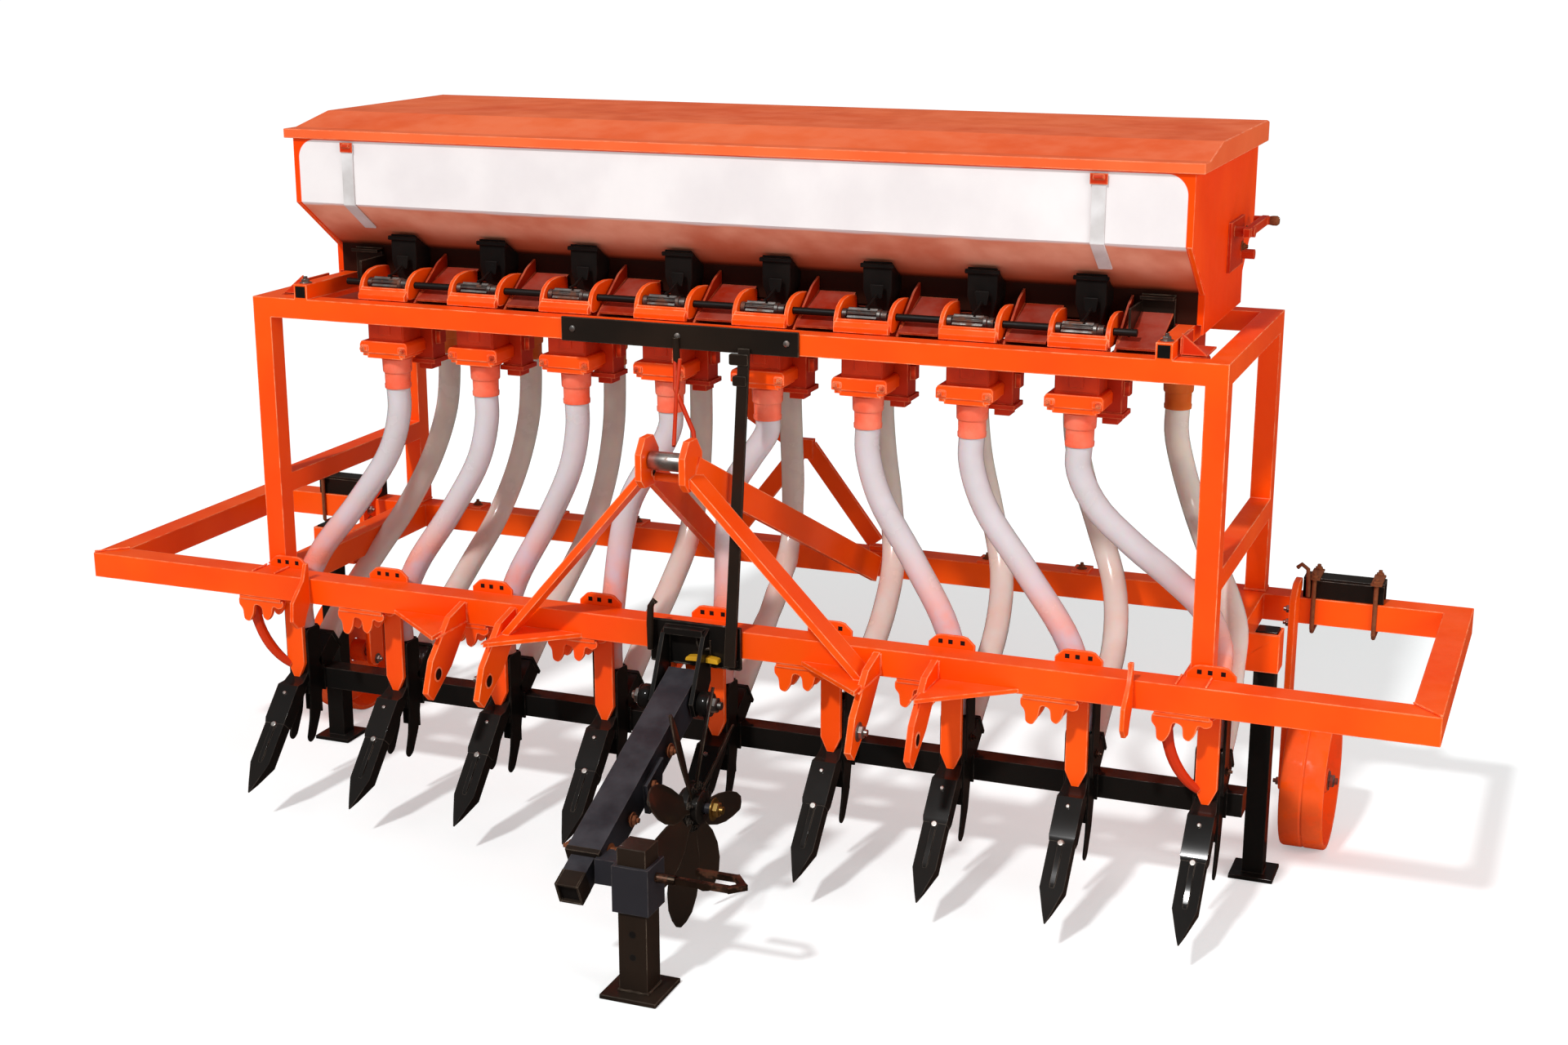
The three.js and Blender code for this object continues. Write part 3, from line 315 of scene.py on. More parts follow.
# ---- Shader nodes ----
def node(tree, kind, inputs=None, **settings):
    made = tree.nodes.new(kind)
    for name, value in settings.items():
        setattr(made, name, value)
    for key, value in (inputs or {}).items():
        if isinstance(value, bpy.types.NodeSocket):
            tree.links.new(value, made.inputs[key])
        else:
            made.inputs[key].default_value = value
    return made


def colour_mix(tree, share, low, high):
    return node(tree, "ShaderNodeMix", {0: share, 6: low, 7: high}, data_type="RGBA").outputs[2]


def maths(tree, how, a, b=0.0):
    return node(tree, "ShaderNodeMath", {0: a, 1: b}, operation=how).outputs[0]


def rise(tree, value, low, high, to_low=0.0, to_high=1.0):
    """A smooth step of the value from to_low at low to to_high at high."""
    inputs = {"Value": value, "From Min": low, "From Max": high, "To Min": to_low, "To Max": to_high}
    return node(tree, "ShaderNodeMapRange", inputs, interpolation_type="SMOOTHSTEP").outputs["Result"]


def fall(tree, value, low, high):
    """A smooth step of the value from one at low to nothing at high."""
    return rise(tree, value, low, high, 1.0, 0.0)


def faces(tree, label):
    """One direction of the surface's own facing."""
    normal = node(tree, "ShaderNodeNewGeometry").outputs["Normal"]
    return node(tree, "ShaderNodeSeparateXYZ", {0: normal}).outputs[label]


def speckle(tree, place, scale, detail=3.0, rough=0.5):
    inputs = {"Vector": place, "Scale": scale, "Detail": detail, "Roughness": rough}
    return node(tree, "ShaderNodeTexNoise", inputs).outputs["Fac"]


def rgb(red, green, blue):
    """A display colour from 0 to 255, made linear."""
    def line(v):
        v /= 255
        return v / 12.92 if v <= 0.04045 else ((v + 0.055) / 1.055) ** 2.4

    return (line(red), line(green), line(blue), 1)


def new_effect(name, numbers, outputs=("Mask",)):
    """A shared effect laid out by place, with its numbers and what it gives."""
    tree = bpy.data.node_groups.new(name, "ShaderNodeTree")
    tree.interface.new_socket("Place", in_out="INPUT", socket_type="NodeSocketVector")
    for label, value in numbers.items():
        tree.interface.new_socket(label, in_out="INPUT", socket_type="NodeSocketFloat").default_value = value
    for label in outputs:
        tree.interface.new_socket(label, in_out="OUTPUT", socket_type="NodeSocketFloat")
    return tree, tree.nodes.new("NodeGroupInput").outputs, tree.nodes.new("NodeGroupOutput").inputs


def make_worn_and_highlit_edges():
    """Mask of the outer edges where paint is rubbed thin and where a pale painted edge highlight lies, broken up by
    noise.
    """
    tree, given, out = new_effect("worn_and_highlit_edges", {"Reach": 0.002, "Breakup": 40.0})
    soft = node(tree, "ShaderNodeBevel", {"Radius": given["Reach"]}, samples=4).outputs["Normal"]
    flat = node(tree, "ShaderNodeNewGeometry").outputs["Normal"]
    facing = node(tree, "ShaderNodeVectorMath", {0: soft, 1: flat}, operation="DOT_PRODUCT").outputs["Value"]
    edge = rise(tree, maths(tree, "SUBTRACT", 1.0, facing), 0.015, 0.16)
    patches = rise(tree, speckle(tree, given["Place"], given["Breakup"], 4), 0.36, 0.6, 0.2, 1.0)
    tree.links.new(maths(tree, "MULTIPLY", edge, patches), out["Mask"])
    return tree


def make_settled_dust():
    """Mask of pale dust on what faces up."""
    tree, given, out = new_effect("settled_dust", {"Scale": 14.0})
    patches = rise(tree, speckle(tree, given["Place"], given["Scale"], 5, 0.6), 0.3, 0.7)
    tree.links.new(maths(tree, "MULTIPLY", rise(tree, faces(tree, "Z"), 0.35, 0.95), patches), out["Mask"])
    return tree


def make_paint_drift():
    """Slow change of tone across a sprayed surface."""
    tree, given, out = new_effect("paint_drift", {"Scale": 4.0})
    broad = rise(tree, speckle(tree, given["Place"], given["Scale"], 2), 0.3, 0.7)
    fine = speckle(tree, given["Place"], maths(tree, "MULTIPLY", given["Scale"], 9.0), 3)
    tree.links.new(maths(tree, "ADD", maths(tree, "MULTIPLY", broad, 0.75), maths(tree, "MULTIPLY", fine, 0.25)),
                   out["Mask"])
    return tree


def make_orange_peel():
    """Height of the fine ripple in sprayed paint."""
    tree, given, out = new_effect("orange_peel", {"Scale": 260.0}, ["Height"])
    ripple = speckle(tree, given["Place"], given["Scale"], 2)
    dents = speckle(tree, given["Place"], maths(tree, "MULTIPLY", given["Scale"], 0.06), 2)
    tree.links.new(maths(tree, "ADD", maths(tree, "MULTIPLY", ripple, 0.25), dents), out["Height"])
    return tree


def make_rust_bloom():
    """Mask and grain of rust patches on bare steel."""
    tree, given, out = new_effect("rust_bloom", {"Scale": 30.0, "Spread": 0.5}, ["Mask", "Tone"])
    cloud = speckle(tree, given["Place"], given["Scale"], 8, 0.65)
    start = maths(tree, "SUBTRACT", 0.9, maths(tree, "MULTIPLY", given["Spread"], 0.7))
    tree.links.new(rise(tree, cloud, maths(tree, "SUBTRACT", start, 0.12), start), out["Mask"])
    tree.links.new(speckle(tree, given["Place"], maths(tree, "MULTIPLY", given["Scale"], 5.0), 4), out["Tone"])
    return tree


WORN_AND_HIGHLIT_EDGES = make_worn_and_highlit_edges()
SETTLED_DUST = make_settled_dust()
PAINT_DRIFT = make_paint_drift()
ORANGE_PEEL = make_orange_peel()
RUST_BLOOM = make_rust_bloom()


class Finish:
    """One material being made: its tree, its shader and the shared effects placed in it."""

    def __init__(self, name):
        self.material = bpy.data.materials.new(name)
        self.material.use_nodes = True
        self.tree = self.material.node_tree
        self.shader = self.tree.nodes["Principled BSDF"]
        self.place = node(self.tree, "ShaderNodeTexCoord").outputs["Object"]

    def effect(self, group, output="Mask", **inputs):
        made = node(self.tree, "ShaderNodeGroup", node_tree=group)
        self.tree.links.new(self.place, made.inputs["Place"])
        for label, value in inputs.items():
            made.inputs[label].default_value = value
        return made.outputs[output]

    def spread(self, mask, low, high):
        return colour_mix(self.tree, mask, low, high)

    def scaled(self, mask, amount):
        return maths(self.tree, "MULTIPLY", mask, amount)

    def drift(self, tone, deep, **inputs):
        """The tone drifting into the deep one."""
        return self.spread(self.effect(PAINT_DRIFT, **inputs), tone, deep)

    def rubbed_and_highlit(self, colour, edge, share, reach):
        """The colour with its outer edges rubbed to the edge tone: worn paint together with a painted edge highlight.
        """
        return self.spread(self.scaled(self.effect(WORN_AND_HIGHLIT_EDGES, Reach=reach), share), colour, edge)

    def axis(self, label):
        return node(self.tree, "ShaderNodeSeparateXYZ", {0: self.place}).outputs[label]

    def fixed(self, **values):
        for label, value in values.items():
            self.shader.inputs[label.replace("_", " ")].default_value = value

    def feed(self, label, socket):
        self.tree.links.new(socket, self.shader.inputs[label])

    def roughen(self, mask, base):
        self.feed("Roughness", maths(self.tree, "ADD", mask, base))

    def bump(self, height, strength, distance=0.001):
        made = node(self.tree, "ShaderNodeBump", {"Height": height, "Strength": strength, "Distance": distance})
        self.feed("Normal", made.outputs["Normal"])


def sprayed_paint(name, tone, deep, edge, rough=0.34, edge_wear_and_highlight=0.9, dust=0.1, coat=0.05, shine=0.16, reach=0.0035,
                  dust_tone=rgb(214, 196, 178)):
    """Paint on steel: drifting tone, rubbed edges in a pale tone that is both wear and painted edge highlight, dust on
    top faces and a fine ripple.
    """
    made = Finish(name)
    worn_and_highlit_mask, dusty = made.effect(WORN_AND_HIGHLIT_EDGES, Reach=reach), made.effect(SETTLED_DUST)
    colour = made.spread(made.scaled(worn_and_highlit_mask, edge_wear_and_highlight), made.drift(tone, deep), edge)
    made.feed("Base Color", made.spread(made.scaled(dusty, dust), colour, dust_tone))
    dull = maths(made.tree, "ADD", made.scaled(worn_and_highlit_mask, 0.15), made.scaled(dusty, 0.25))
    patchy = made.scaled(made.effect(PAINT_DRIFT, Scale=11.0), 0.12)
    made.roughen(maths(made.tree, "ADD", dull, patchy), rough - 0.05)
    made.bump(made.effect(ORANGE_PEEL, "Height"), 0.25, 0.0006)
    made.fixed(Coat_Weight=coat, Coat_Roughness=0.1, Specular_IOR_Level=shine)
    return made.material


def plated_steel(name, tone, deep, rough, rust, spread):
    """Zinc or bright steel with cloudy tone and a little rust."""
    made = Finish(name)
    bloom = made.effect(RUST_BLOOM, Spread=spread)
    rusty = made.spread(made.effect(RUST_BLOOM, "Tone"), rgb(96, 48, 26), rgb(150, 84, 44))
    made.feed("Base Color", made.spread(made.scaled(bloom, rust), made.drift(tone, deep, Scale=60.0), rusty))
    made.feed("Metallic", maths(made.tree, "SUBTRACT", 0.95, made.scaled(bloom, rust * 0.8)))
    made.roughen(made.scaled(bloom, rust * 0.4), rough)
    made.bump(made.effect(ORANGE_PEEL, "Height", Scale=500.0), 0.2, 0.0004)
    return made.material


def moulded(name, tone, deep, rough=0.4, clear=0.0, edge=rgb(250, 150, 104)):
    """Moulded plastic with a fine grain and drifting tone."""
    made = Finish(name)
    # The pale edge tone is rubbed wear together with a painted edge highlight.
    made.feed("Base Color", made.rubbed_and_highlit(made.drift(tone, deep, Scale=16.0), edge, 0.2, 0.0015))
    made.roughen(made.scaled(made.effect(PAINT_DRIFT, Scale=40.0), 0.15), rough)
    made.bump(made.effect(ORANGE_PEEL, "Height", Scale=420.0), 0.2, 0.0005)
    made.fixed(Subsurface_Weight=clear, Subsurface_Scale=0.01, Coat_Weight=clear * 0.5, Specular_IOR_Level=0.2)
    return made.material


# The hopper's front: height of the kink and of the slope's foot, and the white panel's half width, top and corner.
KINK, SLOPE_FOOT = 1172, 1078
PANEL_HALF, PANEL_TOP, PANEL_CORNER = 836, 1289, 0.035
SLOPE_REACH = TOOLBAR_FACE + (HOPPER_FRONT + 133) * MM


def panel_mask(made, z):
    """The front panel's outline with round upper corners, on the faces that look forward."""
    tree = made.tree
    wide = maths(tree, "SUBTRACT", maths(tree, "ABSOLUTE", made.axis("X")), PANEL_HALF * MM - PANEL_CORNER)
    high = maths(tree, "SUBTRACT", z, PANEL_TOP * MM - PANEL_CORNER)
    squares = [maths(tree, "POWER", maths(tree, "MAXIMUM", v, 0.0), 2.0) for v in (wide, high)]
    reach = maths(tree, "SQRT", maths(tree, "ADD", *squares))
    inside = fall(tree, reach, PANEL_CORNER - 0.0012, PANEL_CORNER + 0.0004)
    front = fall(tree, made.axis("Y"), SLOPE_REACH, SLOPE_REACH + 0.004)
    return maths(tree, "MULTIPLY", maths(tree, "MULTIPLY", inside, front), fall(tree, faces(tree, "Y"), -0.5, -0.3))


def panel_colour(made, z):
    """White down to the kink, then painted shade with a painted orange reflection on the white slope: salmon that
    darkens to brown at the foot of the slope.
    """
    tree = made.tree
    grime_and_shade_drift = made.effect(PAINT_DRIFT, Scale=7.0)
    white = made.spread(grime_and_shade_drift, rgb(238, 231, 230), rgb(225, 217, 217))
    # The slope's salmon is the white paint with painted shade and a painted orange reflection.
    slope_shade = made.spread(fall(tree, z, (SLOPE_FOOT + 4) * MM, (SLOPE_FOOT + 58) * MM),
                         made.spread(grime_and_shade_drift, rgb(246, 178, 150), rgb(208, 108, 76)), rgb(186, 88, 56))
    lower = fall(tree, maths(tree, "ADD", z, made.scaled(grime_and_shade_drift, 0.006)), (KINK - 5) * MM, (KINK + 1) * MM)
    # Darkest painted shade at the foot of the slope.
    foot = fall(tree, z, (SLOPE_FOOT - 2) * MM, (SLOPE_FOOT + 12) * MM)
    return made.spread(foot, made.spread(lower, white, slope_shade), rgb(48, 22, 14))


def hopper_paint():
    """Orange hopper with a white front panel; the panel's slope carries painted shade, and the orange's edges a painted
    edge highlight along with wear.
    """
    made = Finish("hopper_paint")
    z = made.axis("Z")
    orange = made.rubbed_and_highlit(made.drift(rgb(254, 76, 2), rgb(240, 60, 0)), rgb(255, 176, 128), 0.6, 0.002)
    made.feed("Base Color", made.spread(panel_mask(made, z), orange, panel_colour(made, z)))
    made.roughen(made.scaled(made.effect(PAINT_DRIFT, Scale=11.0), 0.15), 0.36)
    made.bump(made.effect(ORANGE_PEEL, "Height"), 0.22, 0.0006)
    made.fixed(Coat_Weight=0.0, Specular_IOR_Level=0.08)
    return made.material


def milky_hose(name, upper, lower, glow):
    """Cloudy plastic tube, with painted orange bounce light on its lower part, where it hangs between the orange beams.
    """
    made = Finish(name)
    tree = made.tree
    cloud = made.effect(PAINT_DRIFT, Scale=18.0)
    high = made.spread(made.scaled(cloud, 0.4), upper, rgb(196, 190, 188))
    # Below the beams' top the tube takes the lower and glow colours: painted orange bounce light.
    bounce_zone = fall(tree, maths(tree, "ADD", made.axis("Z"), made.scaled(cloud, 0.06)), 0.5, 0.68)
    made.feed("Base Color", made.spread(bounce_zone, high, made.spread(cloud, lower, glow)))
    made.roughen(made.scaled(cloud, 0.14), 0.16)
    ribs = node(tree, "ShaderNodeTexWave", {"Vector": made.place, "Scale": 14.0, "Distortion": 2.0},
                bands_direction="Z").outputs["Fac"]
    made.bump(ribs, 0.06, 0.0006)
    made.fixed(Coat_Weight=0.8, Coat_Roughness=0.1, Subsurface_Weight=0.35, Subsurface_Scale=0.02)
    return made.material


def wheel_orange():
    """Orange paint worn through to rust on the tread."""
    made = Finish("wheel_orange")
    bloom = made.effect(RUST_BLOOM, Scale=22.0, Spread=0.5)
    rust = made.spread(made.effect(RUST_BLOOM, "Tone"), rgb(128, 70, 44), rgb(176, 108, 72))
    colour = made.spread(made.scaled(bloom, 0.16), made.drift(rgb(252, 88, 14), rgb(240, 74, 10), Scale=9.0), rust)
    # Its pale edges are rubbed wear together with a painted edge highlight.
    made.feed("Base Color", made.rubbed_and_highlit(colour, rgb(232, 178, 150), 0.7, 0.003))
    made.roughen(made.scaled(bloom, 0.35), 0.35)
    made.bump(made.effect(ORANGE_PEEL, "Height"), 0.3, 0.0007)
    made.fixed(Specular_IOR_Level=0.2)
    return made.material


ORANGE = sprayed_paint("orange_paint", rgb(254, 88, 6), rgb(246, 70, 2), rgb(255, 190, 140),
                       dust_tone=rgb(232, 150, 108))
# The lid's paint is a paler copy of the orange paint: painted sheen on its top.
LID_SHEEN_ORANGE = sprayed_paint("lid_sheen_orange", rgb(248, 112, 60), rgb(236, 92, 42), rgb(255, 186, 150), rough=0.42,
                           dust=0.24, dust_tone=rgb(240, 150, 114))
SHADED_ORANGE = sprayed_paint("shaded_orange", rgb(214, 54, 8), rgb(180, 38, 5), rgb(250, 150, 100), rough=0.45)
# A darker copy of the orange paint for the tray wings and the sheets under the hopper: painted shade.
SHADE_DEEPENED_ORANGE = sprayed_paint("shade_deepened_orange", rgb(168, 38, 6), rgb(128, 26, 5), rgb(240, 120, 70), rough=0.5)
BLACK = sprayed_paint("black_gloss", rgb(15, 14, 13), rgb(24, 20, 17), rgb(112, 100, 90), rough=0.5, edge_wear_and_highlight=0.6,
                      dust=0.03, coat=0.4, shine=0.08, dust_tone=rgb(96, 88, 80), reach=0.002)
BLACK_WORN = sprayed_paint("black_worn", rgb(20, 17, 14), rgb(42, 30, 22), rgb(140, 122, 104), edge_wear_and_highlight=0.75,
                           dust=0.06, coat=0.1, shine=0.2, dust_tone=rgb(96, 84, 70), reach=0.0022)
ARM_GREY = sprayed_paint("arm_grey", rgb(46, 45, 50), rgb(38, 36, 40), rgb(120, 112, 108), rough=0.42, edge_wear_and_highlight=0.6,
                         dust=0.3, shine=0.2, dust_tone=rgb(96, 93, 98), reach=0.002)
ZINC = plated_steel("zinc", rgb(206, 202, 196), rgb(150, 146, 142), 0.34, 0.6, 0.34)
LEVER_STEEL = plated_steel("lever_steel", rgb(126, 122, 118), rgb(84, 80, 78), 0.42, 0.7, 0.4)
RUSTY = plated_steel("rusty_steel", rgb(150, 140, 132), rgb(96, 86, 80), 0.45, 1.0, 0.85)
BRONZE = plated_steel("bronze_pin", rgb(92, 76, 62), rgb(54, 46, 42), 0.32, 0.5, 0.45)
BRASS = plated_steel("brass", rgb(206, 168, 96), rgb(150, 116, 62), 0.32, 0.4, 0.3)
STRAP = moulded("strap_steel", rgb(226, 222, 222), rgb(190, 184, 182), 0.42)
HOUSING = moulded("housing_orange", rgb(222, 60, 12), rgb(180, 42, 6), 0.42)
COUPLER_RED = moulded("coupler_red", rgb(250, 132, 104), rgb(240, 92, 58), 0.22, 0.35)
COUPLER_AMBER = moulded("coupler_amber", rgb(216, 112, 44), rgb(188, 84, 22), 0.3, 0.2)
# Black moulded plastic of the chutes and levers, also used as painted shade in holes, bores, open tube ends and on the
# shaft.
BLACK_PLASTIC_AND_SHADE = moulded("chute_black_and_shade", rgb(15, 13, 12), rgb(26, 21, 18), 0.4, edge=rgb(84, 74, 66))
YELLOW = moulded("yellow_rubber", rgb(240, 190, 40), rgb(206, 150, 30), 0.5)
WHEEL_ORANGE = wheel_orange()
HOPPER = hopper_paint()
# The last two colours of each hose are the painted orange bounce light on its lower part.
FRONT_HOSE = milky_hose("front_hose", rgb(214, 208, 212), rgb(208, 190, 200), rgb(244, 140, 108))
REAR_HOSE = milky_hose("rear_hose", rgb(226, 220, 206), rgb(224, 212, 204), rgb(228, 196, 184))

for tubes, hose_finish in ((front_tubes, FRONT_HOSE), (rear_tubes, REAR_HOSE)):
    for tube in tubes:
        tube.data.materials.append(hose_finish)


# ---- Parts carried over from the frame ----
JOIN_REACH = 0.00002
CARRIED_EDGE, CARRIED_ANGLE = 1.4, 40


def dress(name, material):
    """Gives a carried-over part its finish and softly broken edges."""
    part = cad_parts[name]
    part.data.materials.clear()
    part.data.materials.append(material)
    weld = part.modifiers.new("join_points", "WELD")
    weld.merge_threshold = JOIN_REACH
    break_edges(part, CARRIED_EDGE, CARRIED_ANGLE)


CARRIED = {
    "main_frame": ORANGE, "rack_frame": ORANGE, "hitch_mast": ORANGE, "hitch_plate_left": ORANGE,
    "hitch_plate_right": ORANGE, "rear_brace": ORANGE, "rack_bar": BLACK_WORN, "top_link_pin": ZINC,
    "hopper": HOPPER, "hopper_lid": LID_SHEEN_ORANGE, "latch_strap_left": STRAP,
    "latch_strap_right": STRAP, "rate_lever": SHADED_ORANGE, "rear_stand_left": BLACK,
    "rear_stand_right": BLACK, "drive_bracket": BLACK, "drive_arm": ARM_GREY,
    "front_stand_leg": BLACK_WORN, "stand_lock_pin": BRONZE, "tie_strap": BLACK_WORN,
}
for part_name, finish in CARRIED.items():
    dress(part_name, finish)


# ---- Tynes and shovels ----
TAB_HALF = 42
TAB_TOP = BEAM_TOP + 21


def tyne_clamp(shape, x):
    """The upright tab behind the beam, the jaw under it and its two hooked lugs."""
    half, top = TAB_HALF, TAB_TOP
    tab = [(x - half, top - 66), (x + half, top - 66), (x + half, top - 15), (x + half - 14, top - 2),
           (x + half - 22, top), (x - half + 22, top), (x - half + 14, top - 2), (x - half, top - 15)]
    shape.plate(tab, "y", BEAM + 0.3, BEAM + 6)
    shape.block((x - 84, x + 10), (2, 58.3), (407, 414.7))
    wave = rounded([(x - 88, 410), (x + 14, 410), (x + 14, 398), (x + 2, 392), (x - 10, 398), (x - 14, 378),
                    (x - 24, 366), (x - 34, 372), (x - 36, 394), (x - 52, 398), (x - 56, 376), (x - 66, 360),
                    (x - 78, 364), (x - 80, 386), (x - 88, 394)], 7)
    for y in (5, 43):
        shape.plate(wave, "y", y, y + 9)


def tyne_holes(shape, x):
    """Square holes through the tab, drawn as black patches of painted shade."""
    z = TAB_TOP - 12
    for shift in (-20, -2, 20):
        shape.block((x + shift - 4, x + shift + 4), (BEAM + 0.05, BEAM + 1), (z - 4, z + 4))


def tyne_shank(shape, x):
    half, low = 19, 224
    front = [(x - half, 478), (x + half, 478), (x + half, low + 42), (x, low), (x - half, low + 42)]
    shape.plate(front, "y", BEAM + 6.3, BEAM + 16.3)


SHOVEL_TOP, SHOVEL_TIP = Vector((50, 238)), Vector((-120, 55))
SHOVEL_WAY = (SHOVEL_TIP - SHOVEL_TOP).normalized()
SHOVEL_LENGTH = (SHOVEL_TIP - SHOVEL_TOP).length
SHOVEL_FACE = Vector((SHOVEL_WAY.y, -SHOVEL_WAY.x))


def on_shovel(along, out):
    """Y and Z of a point so far down the shovel and so far out from its middle line."""
    return tuple(SHOVEL_TOP + SHOVEL_WAY * along + SHOVEL_FACE * out)


def shovel(shape, x):
    """A box-section shovel with a thicker upper sleeve and a chisel tip."""
    def box(stations):
        rings = []
        for along, front, back, half in stations:
            fy, fz = on_shovel(along, front)
            by, bz = on_shovel(along, back)
            rings.append([at(x - half, by, bz), at(x - half, fy, fz), at(x + half, fy, fz), at(x + half, by, bz)])
        shape.skin(rings)
    box([(96, 11, -15, 21), (SHOVEL_LENGTH - 62, 11, -15, 21), (SHOVEL_LENGTH - 20, 11, 0, 8),
         (SHOVEL_LENGTH, 11, 9, 1)])
    box([(-18, -8, -18, 19), (8, 0, -18, 22), (22, 14, -18, 23), (94, 14, -17, 23), (103, 11.5, -15.5, 21.5)])
    box([(110, 14, 10, 4.5), (178, 14, 10, 4.5), (186, 11, 10, 3)])


def shovel_bolt(shape, x):
    """The flush oval bolt where the sleeve meets the blade, and a smaller one above."""
    for along, size, out in ((106, 7.5, 12), (40, 5, 15)):
        low, high = on_shovel(along, out - 3), on_shovel(along, out + 3)
        shape.rod([(x, *low), (x, *high)], [size, size * 0.75], sides=20)


def make_tynes():
    holes, bolts = Shape(), Shape()
    for n, x in enumerate(TYNE_X):
        shank, blade = Shape(), Shape()
        tyne_shank(shank, x)
        tyne_clamp(shank, x)
        make(shank, f"tyne_shank_{n + 1}", ORANGE, 1.2, f"tyne_{n + 1}")
        shovel(blade, x)
        make(blade, f"tyne_shovel_{n + 1}", BLACK, 2.0, f"tyne_{n + 1}")
        tyne_holes(holes, x)
        shovel_bolt(bolts, x)
    make(holes, "clamp_tab_holes", BLACK_PLASTIC_AND_SHADE, 0)
    make(bolts, "shovel_bolts", ZINC, 1.5)


# ---- Metering units ----
FRONT_BANK, REAR_BANK = "front_meter_bank", "rear_meter_bank"
FRONT_HOUSING_TOP, REAR_HOUSING_TOP = 1000, 1021
ROLLER_Y, ROLLER_Z = 132, 1023
ROLLER_BORE = 6.5
SHAFT_HALF = 758


def meter_housing(shape, x, y, top):
    """A moulded block with a shouldered top, raised ribs on its front and a neck."""
    body = rounded([(x - 38, 913), (x + 38, 913), (x + 38, top - 10), (x + 30, top), (x - 30, top),
                    (x - 38, top - 10)], 5)
    shape.plate(body, "y", y - 36, y + 36)
    shape.block((x - 36, x + 36), (y - 38.5, y - 35), (922, top - 26))
    shape.block((x - 12, x + 12), (y - 40.5, y - 36), (930, top - 34))
    shape.block((x - 33, x + 33), (y - 38, y - 35.5), (924, 930))
    shape.rod([(x, y, 889), (x, y, 880)], [33, 31], sides=28)


def meter_flange(shape, x, y):
    """The bright clamping block, longer towards the left, over a stepped plate with end nubs."""
    block = rounded([(x - 54, 894), (x + 48, 894), (x + 48, 912), (x + 44, 917), (x - 50, 917), (x - 54, 911)], 2)
    shape.plate(block, "y", y - 43, y + 44)
    shape.block((x - 40, x + 36), (y - 40, y + 40), (884, 894.5))
    for low in (x - 50, x + 30):
        shape.block((low, low + 14), (y - 47, y - 42), (898, 908))
        shape.block((low + 1, low + 12), (y - 41, y + 41), (888, 895))


def meter_coupler(shape, x, y):
    """A two-step tube coupler with a rim round its mouth."""
    shape.rod([(x, y, 897), (x, y, 893), (x, y, 892), (x, y, 856), (x, y, 853)], [30, 30, 28.5, 27.5, 26.5], sides=32)
    shape.rod([(x, y, 855), (x, y, 832), (x, y, 830), (x, y, 822)], [24.6, 24.2, 25.4, 25], sides=32)


def meter_bolts(shape, x, y):
    for dx in (-46, 40):
        shape.hex_bolt((x + dx, y - 46.5, 903), (0, -1, 0), 3.6, 3)


def unit_tray(shape, x):
    """The seed tray: a bright stepped front lip between two rounded horn plates."""
    shape.block((x - 45, x + 45), (101, 239), (999, 1003))
    shape.plate([(96, 997), (101, 995.6), (108, 995.6), (108, 1012), (104, 1014), (96, 1006)], "x", x - 50, x + 50)
    shape.block((x - 47, x + 47), (104, 110), (1008, 1019))
    horn = rounded([(104, 998), (206, 998), (206, 1046), (168, 1050), (138, 1047), (116, 1036), (106, 1020)], 9)
    for side in (-53, 45):
        shape.plate(horn, "x", x + side, x + side + 8)


def tray_wing(shape, x):
    """The sloping side plate that runs from the tray up to the next chute, darkened as painted shade."""
    foot = rounded([(112, 992), (239, 992), (239, 1070), (204, 1056)], 4)
    shape.plate(foot, "x", x + 58, x + 62)
    near, far, front, back = x + 60, x + 132, 118, 236
    shape.skin([[at(near, front, 996 + up), at(far, front, 996 + up), at(far, back, 1040 + up),
                 at(near, back, 1040 + up)] for up in (0, 4)])


def roller(shape, x):
    """A fluted feed roller between its collars."""
    place, bore = (x, ROLLER_Y, ROLLER_Z), ROLLER_BORE
    shape.turned([(-34, bore), (-34, 13), (20, 13), (20, bore)], place, sides=60, flutes=10, depth=3.2)
    shape.turned([(20, bore), (20, 12), (26, 12), (28, 10), (38, 10), (38, bore)], place, sides=28)
    shape.turned([(-44, bore), (-44, 10), (-36, 10), (-34, bore)], place, sides=28)


def feed_lever(shape, x):
    """The thin bent lever over each roller."""
    shape.rod([(x + 4, 168, 1052), (x + 4, 150, 1046), (x + 3, 138, 1041), (x + 2, 122, 1039)], 2.6, sides=10)
    shape.plate(rounded([(-6 + x, 1046), (12 + x, 1046), (16 + x, 1070), (-10 + x, 1070)], 3), "y", 172, 176)


def chute(shape, x):
    """A black feed chute, narrower at its foot."""
    back, lid_height = 238, 1076
    shape.skin([[at(x - half, front, z), at(x + half, front, z), at(x + half, back, min(z, lid_height)),
                 at(x - half, back, min(z, lid_height))]
                for z, half, front in ((1008, 17, 196), (1030, 20, 190), (1058, 27, 184), (1110, 27, 184))])
    shape.block((x - 31, x + 31), (179, 186), (1098, 1106))


def seed_cutoff(shape, x):
    """The cut-off body beside each front unit, with its own flange and a stepped foot."""
    shape.block((x + 24, x + 64), (168, 214), (876, 958))
    shape.block((x + 20, x + 69), (163, 219), (868, 877))
    shape.block((x + 30, x + 58), (172, 208), (856, 868.5))
    shape.block((x + 60, x + 74), (180, 202), (905, 930))
    shape.block((x + 8, x + 28), (176, 206), (920, 950))


